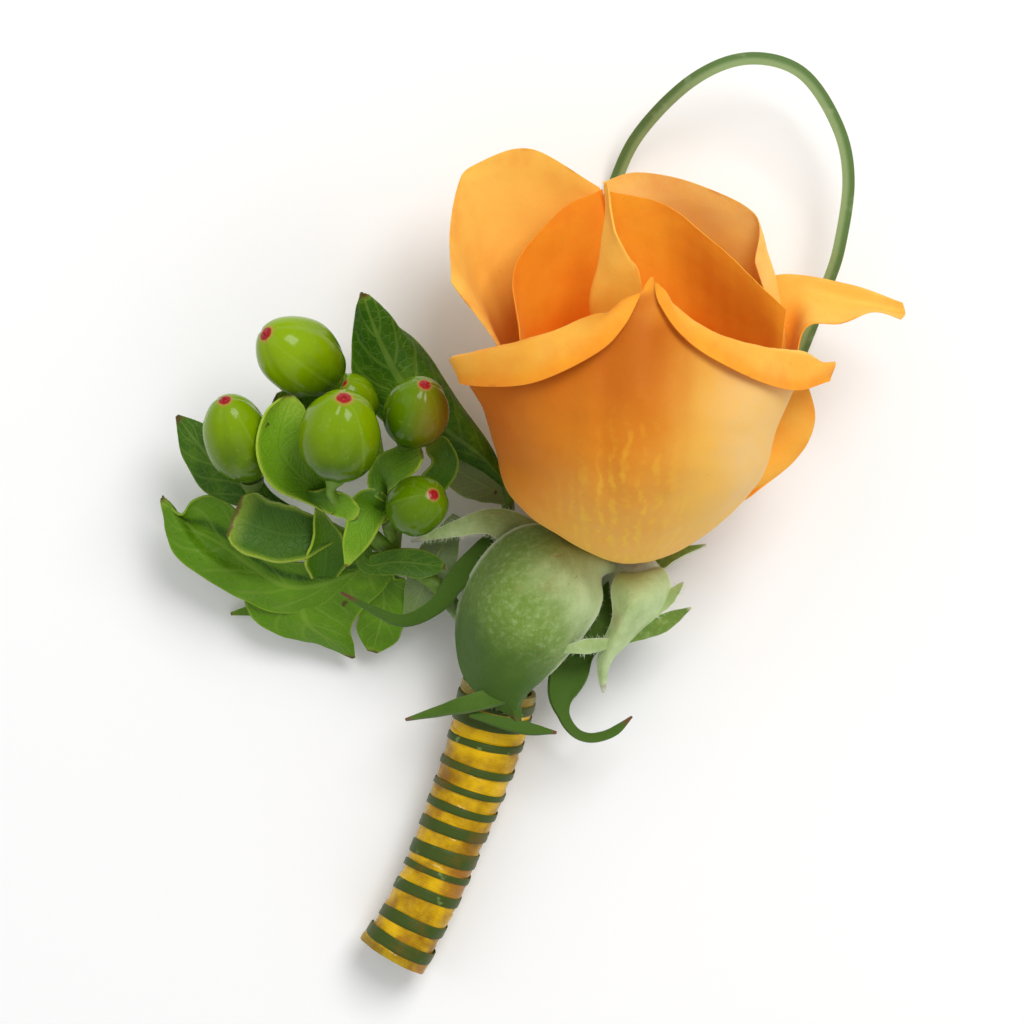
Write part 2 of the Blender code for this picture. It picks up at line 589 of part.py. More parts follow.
# the two broad sepals' ribs, side by side, each from the calyx to the tip
SEPAL_RIBS = {
    "front_left": dict(across=8, along=11, ribs=[
        [(10.2, -3.5, 7.6), (1.9, .2, 12), (-2.7, -.4, 13), (-6.7, -4.4, 12.5), (-9, -10, 11.5),
         (-8.6, -16.4, 11.6), (-5.8, -20.2, 12.6), (-2.6, -22.4, 13), (-2.2, -24.3, 12.8)],
        [(10.4, -3.9, 8), (2.6, -1.3, 16.5), (-2.1, -4.2, 19), (-5.1, -8.9, 19), (-5.6, -14.9, 17),
         (-3.9, -19.6, 14.4), (-2.4, -22.2, 13.3), (-2, -24.3, 12.9)],
        [(10.6, -4.2, 8.2), (4.3, -2.9, 18), (1.3, -6.5, 21), (-.4, -11.8, 20.5), (-1.6, -17.2, 17),
         (-2.2, -21.6, 13.8), (-1.9, -24.3, 13)],
        [(10.8, -4.6, 8), (6.5, -4.6, 16), (5.5, -8.3, 18.5), (3.1, -13, 18), (.5, -17.4, 15.5),
         (-1.7, -21, 13.6), (-1.7, -24.3, 12.9)],
        [(10.9, -5, 7.6), (8.1, -5.7, 12.6), (8.1, -8.5, 13.5), (6.8, -11.4, 13.5), (2.9, -16.2, 13),
         (-1.3, -20, 13.2), (-1.4, -22.2, 13), (-1.5, -24.3, 12.8)]]),
    "front_right": dict(across=5, along=8, ribs=[
        [(12.2, -5, 7.6), (10.2, -5.6, 11.6), (9.4, -7.2, 13.2), (9.5, -10.6, 13.5), (8, -14.5, 12),
         (7.8, -16.9, 11.5), (8.3, -19.6, 10.5)],
        [(13, -5.2, 7.8), (11.5, -6, 13.8), (11.8, -8.8, 16.3), (9.8, -13.2, 14.5), (8.5, -16.7, 12.2),
         (8.4, -19.6, 10.5)],
        [(13.5, -5, 7.8), (13.6, -5.6, 12.8), (14.4, -7.8, 14.3), (12, -12.2, 13.5), (9.1, -16, 12),
         (8.5, -19.6, 10.5)],
        [(14, -4.8, 7.6), (15.7, -5, 10.6), (16.4, -7.4, 11), (14.5, -10.9, 11.5), (10.1, -14.6, 11.5),
         (8.9, -16.6, 11.5), (8.6, -19.6, 10.4)]]),
}


# two thin blades that lie over the top of the handle
STIPULES = {
    "left_blade": dict(across=2, spine=[(-1.0, -19.2, 13.0), (-3.0, -19.7, 13.5), (-8.5, -21.0, 13.5),
                                        (-15.2, -22.8, 12.0)],
                       outline=((0, .9), (.35, 1.2), (.7, .7), (1, .4)), up=(0, .5, 1), cup=20, along=6),
    "right_blade": dict(across=2, spine=[(-7.5, -22.0, 13.4), (-2.0, -23.5, 13.4), (2.8, -24.3, 12.8)],
                        outline=((0, .4), (.6, .8), (1, .4)), up=(0, .5, 1), cup=20, along=6),
}


def rose_stem_solid():
    path = [*in_handle(ROSE_STEM_PLACE, 8), (-1.8, -16.9, 7.6), (2.0, -14.9, 7.2), (7.0, -13.4, 6.2),
            (10.8, -10.8, 5.6), rose_place(-6.5)]
    return tube_solid(smooth_path(path, 18), ROSE_STEM_RADIUS, 8)


def hip_solid():
    half = HIP_LENGTH / 2
    turn = np.linspace(0.12, math.pi - 0.35, 8)
    profile = [(-half * math.cos(t), HIP_RADIUS * math.sin(t)) for t in turn]
    return turned_solid(rose_place(-half - 1.0), rose_frame()[2], profile, 12)


def build_calyx():
    grids = [ribbed_grid(**sepal) for sepal in SEPAL_RIBS.values()]
    grids += [leaf_grid(**sepal) for sepal in (SEPALS | STIPULES).values()]
    sepals = [sheet_solid(grid, LEAF_THICKNESS) for grid in grids]
    return build_node("rose_calyx", [rose_stem_solid(), hip_solid(), *sepals], CALYX_GREEN, 0.6)


# ------------------------------------------------------------------ the hypericum

BERRIES = {
    "top": dict(centre=(-27.2, 20.1, 22.0), direction=(-.6, .4, .69), radius=4.5, half=6.2),
    "left": dict(centre=(-34.5, 10.6, 21.0), direction=(-.2, .72, .66), radius=3.95, half=6.1),
    "middle": dict(centre=(-22.3, 10.8, 27.0), direction=(.12, .72, .68), radius=4.8, half=5.9),
    "right": dict(centre=(-13.6, 13.7, 23.0), direction=(.24, .66, .71), radius=3.85, half=4.6),
    "low": dict(centre=(-13.5, 2.8, 22.0), direction=(.45, .28, .85), radius=3.5, half=4.4),
    "hidden": dict(centre=(-21.3, 15.4, 15.3), direction=(-.3, .5, .8), radius=2.9, half=3.7),
}
# the three large leaves' ribs, side by side, each from the twig to the tip
LEAF_RIBS = {
    "upper": dict(across=6, along=9, ribs=[
        [(-3.3, 4.8, 8), (-7.9, 8, 9), (-13.9, 10.3, 10), (-18.5, 13.5, 11.5), (-21.3, 17.5, 13),
         (-21.5, 21.6, 14.5), (-21, 25.2, 16), (-20.4, 27.7, 18)],
        [(-3.2, 4.9, 8.2), (-6.8, 8.8, 10), (-11.3, 12.3, 11.8), (-15.2, 16, 13.5), (-18.2, 20.3, 15),
         (-19.5, 24.4, 16.5), (-20.2, 27.9, 18)],
        [(-3, 5, 8), (-5.6, 9.3, 9.6), (-8.8, 13.5, 11.4), (-12, 17.5, 13), (-15.2, 22.3, 14.8),
         (-17.4, 25.3, 16.3), (-20, 27.8, 18)],
        [(-2.9, 5.1, 7.6), (-5, 9.7, 8.6), (-7.9, 13.9, 9.8), (-10.8, 18.1, 11), (-14, 22.7, 13),
         (-17.4, 25.1, 15.5), (-19.7, 27.6, 17.8)]]),
    "large": dict(across=6, along=11, ribs=[
        [(-16.4, -2.8, 10.9), (-22.5, -3, 11), (-28.6, -4, 11), (-33, -1.5, 11.5), (-35.6, 2.2, 11.8),
         (-38.3, 3.9, 11.8), (-40.6, 3.3, 11.8), (-42.3, 1.9, 10.8), (-44.2, 4.1, 10.7)],
        [(-16.4, -3.1, 10.8), (-22.5, -4.6, 10), (-28.7, -5.2, 9.8), (-33.4, -4.2, 9.3), (-37.1, -2.6, 9),
         (-40.8, 0, 9), (-44.3, 3.9, 10.5)],
        [(-16.4, -3.3, 10.7), (-23, -6.6, 9.6), (-30, -7.8, 9.3), (-36, -5.6, 9.6), (-40.2, -2.8, 10),
         (-42.5, .3, 10.4), (-44.4, 3.7, 10.4)],
        [(-16.4, -3.5, 10.6), (-23, -8.8, 8), (-30.3, -10.3, 7.5), (-34.8, -8.7, 8), (-39.5, -5.9, 8.5),
         (-42.9, -3.3, 9), (-44, -.8, 9.5), (-44.2, 1.5, 10), (-44.5, 3.4, 10.3)]]),
    "low_front": dict(across=5, along=9, ribs=[
        [(-16.3, -3, 10.5), (-28.8, -5.7, 8.2), (-34.6, -6.2, 7.2), (-34.2, -10.4, 6), (-30.4, -13, 5),
         (-26, -13.9, 4.5), (-22.3, -15.8, 3.5)],
        [(-16.1, -3.2, 10.6), (-21.4, -6.8, 9.5), (-26.5, -8.7, 8), (-25.6, -11.1, 7), (-23.4, -13.4, 5.5),
         (-22, -15.9, 3.5)],
        [(-15.9, -3.4, 10.6), (-17.7, -6.8, 9), (-20.5, -9.7, 7.5), (-22, -12, 6), (-21.8, -13.9, 4.5),
         (-21.6, -15.8, 3.4)]]),
}
LEAVES = {
    "far_left": dict(spine=[(-24.5, 0.0, 13.0), (-31.0, 2.6, 12.6), (-37.5, 7.5, 13.0), (-42.5, 13.5, 12.0)],
                     outline=((0, .8), (.35, 1.4), (.6, 3.4), (.8, 2.8), (1, .4)), up=(-.2, 0, 1), cup=-20),
    "low_right": dict(spine=[(-15.8, -3.4, 10.6), (-18.2, -5.0, 8.6), (-18.0, -9.5, 6.0),
                             (-19.5, -15.0, 4.0)],
                      outline=((0, .8), (.4, 3.0), (.8, 2.8), (.95, 1.4), (1, .6)), up=(0, 0, 1), cup=20),
    "middle": dict(across=2, spine=[(-20.0, -1.6, 12.0), (-19.8, -4.2, 12.6), (-16.0, -3.9, 12.8),
                                    (-10.5, -4.5, 12.0)],
                   outline=((0, .7), (.3, 1.2), (.7, 1.9), (.9, 1.2), (1, .4)), up=(0, -.2, 1), cup=25,
                   along=7),
    "pale_low": dict(across=2, spine=[(-9.0, 1.5, 8.2), (-12.4, -5.2, 9.1), (-15.0, -11.0, 6.0)],
                     outline=((0, .8), (.5, 2.6), (1, .8)), up=(0, 0, 1), cup=10, along=6),
    "pale_high": dict(across=2, spine=[(-3.0, 3.5, 8.0), (-7.5, 6.0, 9.0), (-12.5, 9.0, 8.0)],
                      outline=((0, .8), (.5, 2.4), (1, .4)), up=(0, .3, 1), cup=10, along=6),
    "under": dict(across=2, spine=[(-15.6, -3.8, 10.4), (-20.0, -6.5, 6.0), (-26.0, -8.5, 2.6),
                                   (-37.0, -10.5, .5)],
                  outline=((0, .6), (.3, 1.5), (.7, 1.4), (1, .4)), up=(0, 0, 1), cup=10, along=6),
}
CALYX_LOBES = {
    "cup": dict(spine=[(-21.3, 2.0, 17.4), (-25.0, 4.0, 18.4), (-29.4, 9.0, 22.4), (-28.2, 15.6, 23.0)],
                outline=((0, 1.0), (.3, 2.0), (.6, 3.7), (.85, 3.0), (.95, 1.8), (1, .5)), up=(.45, -.1, 1),
                cup=40),
    "behind_left": dict(across=2, spine=[(-20.0, 12.8, 11.0), (-23.5, 12.6, 12.8), (-26.5, 13.6, 15.4),
                                         (-30.5, 15.5, 17.0)],
                        outline=((0, 1), (.6, 3.0), (.9, 2.0), (1, .6)), up=(0, 0, 1), cup=20, along=6),
    "spoon_right": dict(spine=[(-15.8, 3.0, 12.8), (-17.5, 6.0, 17.0), (-13.0, 9.0, 20.5)],
                        outline=((0, .8), (.6, 2.6), (.88, 2.2), (1, .8)), up=(-.2, .5, 1), cup=20, along=6),
    "ragged": dict(across=2, spine=[(-26.5, 4.0, 19.4), (-22.8, 3.0, 19.8), (-20.6, 1.4, 19.5)],
                   outline=((0, .5), (.5, 1.5), (.9, 1.1), (1, .4)), up=(0, -.5, 1), wave=(.4, 6, 0),
                   along=6),
    "hanging": dict(spine=[(-18.4, 1.0, 13.6), (-19.0, 2.6, 17.0), (-20.0, 0.6, 19.0), (-22.0, -4.4, 18.0)],
                    outline=((0, 1.2), (.35, 2.5), (.75, 1.6), (1, .4)), up=(0, .3, 1), cup=30, along=6),
    "flag": dict(spine=[(-25.0, -5.6, 11.6), (-24.8, -1.4, 13.4), (-25.5, 2.5, 17.0)],
                 outline=((0, 1.8), (.25, 2.9), (.75, 1.2), (1, .4)), up=(.3, 0, 1), cup=45, along=6),
    "under_left": dict(spine=[(-23.4, -.4, 12.6), (-30.0, -.6, 14.6), (-35.5, 1.5, 16.0)],
                       outline=((0, 1.0), (.5, 3.6), (.9, 3.6), (1, 2.6)), up=(.3, 0, 1), cup=30, along=6),
    "bow": dict(across=2, spine=[(-16.0, 2.6, 13.0), (-12.6, 4.6, 15.4), (-10.4, 8.0, 16.4),
                                 (-12.6, 11.0, 15.8)],
                outline=((0, .6), (.5, 1.7), (.85, 1.5), (1, .4)), up=(.2, 0, 1), cup=20, along=4),
}
BERRY_SIDES = 12
STEM_FORK = (-16.5, -3.0, 11.0)
TWIG_RADIUS = 0.65
STALK_BELOW = 0.4            # how far below a berry its stalk's cup starts


def berry_seat(berry, extra=0.0):
    """The point on a berry's axis, this much below its lower end."""
    return np.array(berry["centre"]) - (berry["half"] + extra) * unit(berry["direction"])


def berry_profile(radius, half, grow=0.0):
    """An egg's outline with the small nub of its style at the top."""
    turn = np.linspace(0.25, math.pi - 0.3, 7)
    profile = [(-half * math.cos(t), radius * math.sin(t) * (1 + 0.06 * math.cos(t))) for t in turn]
    nub = [(half * 0.965, 0.62), (half * 1.06, 0.5)]
    return [(place * (1 + grow / half), width + grow) for place, width in profile + nub]


def build_berry(name, berry):
    solid = turned_solid(berry["centre"], berry["direction"], berry_profile(berry["radius"], berry["half"]),
                         BERRY_SIDES)
    return build_node(f"hypericum_berry_{name}", [solid], BERRY_GREEN, 0.25)


def twig_solid(berry):
    """A twig from the fork to a berry, ending in a small cup under it."""
    seat = berry_seat(berry, GAP)
    below = berry_seat(berry, GAP + 3.5)
    middle = (np.array(STEM_FORK) + below) / 2 + (0, 0, -1.0)
    path = smooth_path([STEM_FORK, middle, below, seat], 7)
    radii = np.full(8, TWIG_RADIUS)
    radii[-2:] = (0.9, 1.5)
    return tube_solid(path, radii, 6, up=(0.3, 0.9, 0.2))


def spray_stems():
    main = [*in_handle(SPRAY_STEM_PLACE, 8), (-6.5, -14.0, 9.0), (-11.0, -7.5, 9.5), STEM_FORK,
            (-20.5, 0.0, 13.0)]
    side = [(-6.0, -15.0, 8.8), (-3.2, -4.0, 7.0), (-3.0, 6.0, 8.0)]
    solids = [tube_solid(smooth_path(main, 16), SPRAY_STEM_RADIUS, 8)]
    solids.append(tube_solid(smooth_path(side, 7), TWIG_RADIUS + 0.1, 6))
    return solids + [twig_solid(berry) for berry in BERRIES.values()]


def build_spray():
    grids = [ribbed_grid(**leaf) for leaf in LEAF_RIBS.values()]
    grids += [leaf_grid(**leaf) for leaf in (LEAVES | CALYX_LOBES).values()]
    blades = [sheet_solid(grid, LEAF_THICKNESS) for grid in grids]
    berries = [turned_solid(b["centre"], b["direction"], berry_profile(b["radius"], b["half"], GAP),
                            BERRY_SIDES)
               for b in BERRIES.values()]
    return build_node("hypericum_spray", [*spray_stems(), *blades], LEAF_GREEN, 0.5,
                      cutters=[*berries, table_cutter()])


def main():
    for item in list(bpy.data.objects):
        bpy.data.objects.remove(item)
    build_bloom()
    build_ribbon()
    build_winding()
    build_loop()
    build_calyx()
    build_spray()
    for name, berry in BERRIES.items():
        build_berry(name, berry)


main()
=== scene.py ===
"""Looks of a buttonhole flower lying on a table: a rose, hypericum with its berries, and bear grass."""

import math

import bpy
import numpy as np
from bpy.props import FloatProperty, FloatVectorProperty, PointerProperty
from bpy.types import Operator, Panel, PropertyGroup
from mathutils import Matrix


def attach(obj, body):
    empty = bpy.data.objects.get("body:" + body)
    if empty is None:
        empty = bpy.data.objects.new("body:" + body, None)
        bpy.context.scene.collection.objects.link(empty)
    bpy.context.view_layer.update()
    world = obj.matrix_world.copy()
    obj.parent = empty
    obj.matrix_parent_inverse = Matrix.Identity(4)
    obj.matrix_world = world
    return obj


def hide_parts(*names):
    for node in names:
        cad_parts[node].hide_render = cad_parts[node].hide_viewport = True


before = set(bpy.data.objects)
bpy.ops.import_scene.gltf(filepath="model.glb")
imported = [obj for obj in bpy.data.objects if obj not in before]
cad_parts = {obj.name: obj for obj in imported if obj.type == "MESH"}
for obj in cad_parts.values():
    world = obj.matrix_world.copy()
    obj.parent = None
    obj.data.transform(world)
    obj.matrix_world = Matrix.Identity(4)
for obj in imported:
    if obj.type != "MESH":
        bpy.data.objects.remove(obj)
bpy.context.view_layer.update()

bl_info = {
    "name": "Buttonhole flower",
    "version": (1, 0, 0),
    "blender": (4, 5, 0),
    "location": "3D View > Sidebar > Flower",
    "description": "A rose with hypericum and bear grass, bound with ribbon",
    "category": "Add Mesh",
}

MM = 0.001
DRAWING_SHIFT = (0.35, -1.3, 0.0)     # carries the tables below, in millimetres, to the frame's origin
NARROW = 1.5                          # a leaf flattens where its half width falls below this
NO_CUP = 0.001                        # the bend, in radians, of a leaf that is flat across

ROSE_FOOT = (12.0, -2.0, 9.0)
ROSE_TILT = 25
ROSE_LEAN = 1


def srgb(red, green, blue):
    """A colour given from 0 to 255, as Blender's linear numbers."""
    return tuple(((c / 255 + 0.055) / 1.055) ** 2.4 if c > 10 else c / 3295 for c in (red, green, blue))


def add_object(name, data):
    made = bpy.data.objects.new(name, data)
    bpy.context.scene.collection.objects.link(made)
    return made


# ------------------------------------------------------------------ curves and frames

def unit(vectors):
    vectors = np.asarray(vectors, float)
    return vectors / np.maximum(np.linalg.norm(vectors, axis=-1, keepdims=True), 1e-9)


def eased(x):
    """0 below 0, 1 above 1, and a smooth rise between."""
    x = np.clip(x, 0, 1)
    return x * x * (3 - 2 * x)


def keyed(x, keys):
    """The value at x of a smooth curve through (place, value) keys that never overshoots them."""
    places = np.array([key[0] for key in keys], float)
    values = np.array([key[1] for key in keys], float)
    slopes = np.diff(values) / np.diff(places)
    tangents = np.concatenate([slopes[:1], np.zeros(len(keys) - 2), slopes[-1:]])
    for i in range(1, len(keys) - 1):
        before, after = slopes[i - 1], slopes[i]
        if before * after > 0:
            tangents[i] = 2 * before * after / (before + after)
    x = np.clip(x, places[0], places[-1])
    i = np.clip(np.searchsorted(places, x, side="right") - 1, 0, len(keys) - 2)
    width = places[i + 1] - places[i]
    t = (x - places[i]) / width
    return ((1 + 2 * t) * (1 - t) ** 2 * values[i] + t * (1 - t) ** 2 * width * tangents[i]
            + t * t * (3 - 2 * t) * values[i + 1] + t * t * (t - 1) * width * tangents[i + 1])


def smooth_path(points, steps):
    """steps + 1 places evenly spread on a smooth curve through the points."""
    p = np.array(points, float)
    p = np.vstack([2 * p[0] - p[1], p, 2 * p[-1] - p[-2]])
    lengths = np.linalg.norm(np.diff(p[1:-1], axis=0), axis=1)
    marks = np.concatenate([[0], np.cumsum(lengths)])
    path = []
    for mark in np.linspace(0, marks[-1], steps + 1):
        i = int(np.clip(np.searchsorted(marks, mark, side="right") - 1, 0, len(lengths) - 1))
        t = (mark - marks[i]) / lengths[i]
        a, b, c, d = p[i:i + 4]
        path.append(0.5 * (2 * b + (c - a) * t + (2 * a - 5 * b + 4 * c - d) * t ** 2
                           + (3 * b - a - 3 * c + d) * t ** 3))
    return np.array(path)


def across_and_along(grid):
    """How far across, from -1 to 1, and how far along, from 0 to 1, a grid's rows and columns lie."""
    return np.linspace(-1, 1, grid.shape[0])[:, None], np.linspace(0, 1, grid.shape[1])[None]


def surface_normals(grid):
    """The unit normal at each place of a grid."""
    return unit(np.cross(np.gradient(grid, axis=0), np.gradient(grid, axis=1)))


def angles(sides):
    """This many angles evenly spread round a full turn, in radians."""
    return 2 * math.pi * np.arange(sides) / sides


def frames_along(path, up):
    """Forward, sideways and upward unit vectors at each place of a path."""
    forward = unit(np.gradient(path, axis=0))
    up = np.broadcast_to(np.asarray(up, float), path.shape)
    upward = unit(up - (up * forward).sum(1)[:, None] * forward)
    return forward, np.cross(forward, upward), upward


def wander(places, wavelength, seed):
    """A smooth random field from about -1 to 1 over places in millimetres, the same on each run."""
    draw = np.random.default_rng(seed)
    field = np.zeros(places.shape[:-1])
    for _ in range(7):
        direction = unit(draw.normal(size=places.shape[-1]))
        pace = 2 * math.pi / wavelength * draw.uniform(0.6, 1.5)
        field += np.sin(places @ direction * pace + draw.uniform(0, 2 * math.pi))
    return field / 3.2


def rose_frame():
    """The rose's right, front and axis directions."""
    tilt, lean = math.radians(ROSE_TILT), math.radians(ROSE_LEAN)
    axis = np.array([math.sin(lean) * math.cos(tilt), math.cos(lean) * math.cos(tilt), math.sin(tilt)])
    right = np.array([math.cos(lean), -math.sin(lean), 0.0])
    return right, np.cross(right, axis), axis


def rose_place(forward):
    """The point on the rose's axis that lies this far in front of its foot."""
    return np.array(ROSE_FOOT) + forward * rose_frame()[2]


# ------------------------------------------------------------------ meshes from grids of points

BUMP_LENGTH = 3.0            # about how far it is from one bump on a stem to the next
BUMP_SEED = 1
SHARP_ANGLE = 55             # degrees between faces that show as an edge

class Weaver:
    """Gathers sheets, tubes and turned bodies, in millimetres, into one mesh with values at its corners."""

    VALUES = ("across", "along", "tone", "rim", "shade")

    def __init__(self):
        self.points, self.faces, self.values = [], [], []
        self.count = 0

    def add(self, points, faces, **values):
        points = np.asarray(points, float).reshape(-1, 3)
        self.points.append(points)
        self.faces += [tuple(int(corner) + self.count for corner in face) for face in faces]
        columns = [np.broadcast_to(values.get(name, 0.0), len(points)) for name in self.VALUES]
        self.values.append(np.stack(columns, 1))
        self.count += len(points)

    def sheet(self, grid, thickness, tone=0.0, rim=None, shade=0.0):
        """A closed sheet. Across runs from -1 to 1 and along from 0 to 1."""
        rows, columns = grid.shape[:2]
        normal = surface_normals(grid)
        half = np.broadcast_to(thickness, (rows, columns))[..., None] / 2
        points = np.concatenate([(grid + normal * half).reshape(-1, 3),
                                 (grid - normal * half).reshape(-1, 3)])
        index = np.arange(rows * columns).reshape(rows, columns)
        a, b, c, d = index[:-1, :-1], index[1:, :-1], index[1:, 1:], index[:-1, 1:]
        front = np.stack([a, b, c, d], -1).reshape(-1, 4)
        back = np.stack([a, d, c, b], -1).reshape(-1, 4) + rows * columns
        edge = np.concatenate([index[:, 0], index[-1, 1:], index[-2::-1, -1], index[0, -2:0:-1]])
        follow = np.roll(edge, -1)
        side = np.stack([follow, edge, edge + rows * columns, follow + rows * columns], -1)
        across = np.broadcast_to(np.linspace(-1, 1, rows)[:, None], (rows, columns)).ravel()
        along = np.broadcast_to(np.linspace(0, 1, columns)[None], (rows, columns)).ravel()
        tone = np.broadcast_to(tone, (rows, columns)).ravel()
        shade = np.broadcast_to(shade, (rows, columns)).ravel()
        if rim is None:
            rim = np.minimum(1 - np.abs(across), 1 - along)
        rim = np.broadcast_to(rim, (rows, columns)).ravel() if np.ndim(rim) == 2 else rim
        self.add(points, np.concatenate([front, back, side]), across=np.tile(across, 2),
                 along=np.tile(along, 2), tone=np.tile(tone, 2), rim=np.tile(rim, 2), shade=np.tile(shade, 2))

    def rings(self, grid, tone=0.0, rim=0.0, shade=0.0):
        """A closed solid between rings of points, with a fan over the first and the last."""
        rings, sides = grid.shape[:2]
        points = np.concatenate([grid.reshape(-1, 3), [grid[0].mean(0)], [grid[-1].mean(0)]])
        index = np.arange(rings * sides).reshape(rings, sides)
        after = np.roll(index, -1, 1)
        wall = np.stack([index[:-1], after[:-1], after[1:], index[1:]], -1).reshape(-1, 4)
        first = [(rings * sides, after[0, j], index[0, j]) for j in range(sides)]
        last = [(rings * sides + 1, index[-1, j], after[-1, j]) for j in range(sides)]
        across = np.broadcast_to(np.linspace(-1, 1, sides, endpoint=False)[None], (rings, sides)).ravel()
        along = np.broadcast_to(np.linspace(0, 1, rings)[:, None], (rings, sides)).ravel()
        tone = np.broadcast_to(tone, (rings, sides)).ravel()
        rim = np.broadcast_to(rim, (rings, sides)).ravel()
        shade = np.broadcast_to(shade, (rings, sides)).ravel()
        ends = {"across": (0, 0), "along": (0, 1), "tone": (tone[0], tone[-1]), "rim": (rim[0], rim[-1]),
                "shade": (shade[0], shade[-1])}
        flat = {"across": across, "along": along, "tone": tone, "rim": rim, "shade": shade}
        self.add(points, [*wall, *first, *last],
                 **{name: np.concatenate([flat[name], ends[name]]) for name in flat})

    def tube(self, path, radii, sides, up=(0, 0, 1), tone=0.0, bumps=0.0):
        """A solid round a path, with bumps of this many millimetres."""
        _, sideways, upward = frames_along(path, up)
        turn = angles(sides)
        radii = np.broadcast_to(np.asarray(radii, float), len(path))
        ring = np.cos(turn)[None, :, None] * sideways[:, None] + np.sin(turn)[None, :, None] * upward[:, None]
        grid = path[:, None] + radii[:, None, None] * ring
        grid = grid + ring * (bumps * wander(grid, BUMP_LENGTH, BUMP_SEED))[..., None]
        self.rings(grid, tone)

    def hair(self, root, direction, length, width, bend):
        """A fine tapered hair of three sides."""
        direction = unit(direction)
        helper = unit(np.cross(direction, (0.3, 0.5, 0.8)))
        other = np.cross(direction, helper)
        around = [helper * math.cos(t) + other * math.sin(t) for t in (0, 2.1, 4.2)]
        middle = root + direction * length * 0.55 + bend * 0.3
        tip = root + direction * length + bend
        points = [root + a * width for a in around] + [middle + a * width * 0.7 for a in around] + [tip]
        faces = [(0, 2, 1)]
        for i in range(3):
            k = (i + 1) % 3
            faces += [(i, k, k + 3, i + 3), (i + 3, k + 3, 6)]
        self.add(points, faces, tone=2.0)

    def make(self, name, finish, slot, *nodes):
        """The Blender object, riding on the flower and standing for these CAD nodes."""
        mesh = bpy.data.meshes.new(name)
        points = (np.concatenate(self.points) + DRAWING_SHIFT) * MM
        mesh.from_pydata(points, [], self.faces)
        values = np.concatenate(self.values).astype(np.float32)
        for i, value in enumerate(self.VALUES):
            layer = mesh.attributes.new(value, "FLOAT", "POINT")
            layer.data.foreach_set("value", np.ascontiguousarray(values[:, i]))
        mesh.shade_smooth()
        mesh.set_sharp_from_angle(angle=math.radians(SHARP_ANGLE))
        mesh.validate()
        mesh.materials.append(finish.material)
        made = add_object(name, mesh)
        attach(made, "root")
        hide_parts(*nodes)
        return made


PETAL_NARROW = 0.4           # share of its spread that a hidden petal has at its foot
PETAL_WIDE_AT = 22.0         # how far along, in millimetres, it reaches its full spread


def petal_grid(azimuth, spread, rim, lean, foot=2.0, ragged=0.35, across=44, along=54, seed=1):
    """A hidden petal's middle surface, with its ragged rim and its slow waves."""
    u = np.linspace(-1, 1, across + 1)[:, None]
    reach = keyed(u[:, 0], rim)[:, None]
    reach = reach + ragged * wander(np.stack([u * spread / 57 * 16, u * 0], -1), 5.0, seed)
    length = reach * np.linspace(0, 1, along + 1)[None, :]
    angle = keyed(length, lean)
    angle = np.radians((angle[:, 1:] + angle[:, :-1]) / 2)
    start = np.zeros((across + 1, 1))
    radius = foot + np.concatenate([start, np.cumsum(np.sin(angle) * reach / along, 1)], 1)
    height = np.concatenate([start, np.cumsum(np.cos(angle) * reach / along, 1)], 1)
    widening = PETAL_NARROW + (1 - PETAL_NARROW) * eased(length / PETAL_WIDE_AT)
    around = np.radians(azimuth + u * spread * widening)
    right, front, axis = rose_frame()
    outward = np.cos(around)[..., None] * front + np.sin(around)[..., None] * right
    grid = np.array(ROSE_FOOT) + radius[..., None] * outward + height[..., None] * axis
    normal = surface_normals(grid)
    share = length / reach
    waves = 0.30 * wander(grid, 13.0, seed + 50) * eased(share * 1.6) + 0.10 * wander(grid, 4.5, seed + 90)
    return grid + normal * (waves * eased(share * 4))[..., None]


def ribbed_grid(ribs, across, along, seed=1, waves=0.12):
    """A surface through ribs, with slight slow waves that fade towards its foot."""
    rows = np.array([smooth_path(rib, along) for rib in ribs])
    grid = np.stack([smooth_path(rows[:, j], across) for j in range(along + 1)], 1)
    normal = surface_normals(grid)
    share = np.linspace(0, 1, along + 1)[None]
    swell = waves * wander(grid, 9.0, seed) + 0.3 * waves * wander(grid, 3.5, seed + 1)
    return grid + (swell * eased(share * 2))[..., None] * normal


def leaf_grid(spine, outline, up, cup=0.0, fold=0.0, wave=(0, 3, 0), across=20, along=44, seed=1,
              ruffle=0.12):
    """A leaf's middle surface, with a slightly uneven outline. cup and fold are in degrees."""
    path = smooth_path(spine, along)
    _, sideways, upward = frames_along(path, up)
    share = np.linspace(0, 1, along + 1)
    half = keyed(share, outline)[None]
    u = np.linspace(-1, 1, across + 1)[:, None]
    flat = np.stack([share[None] * 30 + 0 * u, np.sign(u) * 9 + 0 * share[None]], -1)
    uneven = 1 + 0.05 * wander(flat, 7.0, seed) * np.abs(u)
    distance = half * np.abs(u) * uneven
    bend = (np.radians(cup) or NO_CUP) / np.maximum(half, NARROW)
    out, rise = np.sin(bend * distance) / bend, (1 - np.cos(bend * distance)) / bend
    lift = np.radians(fold) * eased(half / NARROW - 0.4)
    out, rise = out * np.cos(lift) - rise * np.sin(lift), out * np.sin(lift) + rise * np.cos(lift)
    height, count, start = wave
    ripple = np.sin(math.pi * (count * share[None] + start + 0.35 * np.sign(u)))
    rise = rise + height * ripple * u ** 2 * np.sin(math.pi * share)[None]
    out = out * np.sign(u)
    grid = path[None] + out[..., None] * sideways[None] + rise[..., None] * upward[None]
    swell = ruffle * wander(grid, 5.0, seed + 30) * np.minimum(half, 3) / 3
    return grid + swell[..., None] * upward[None]


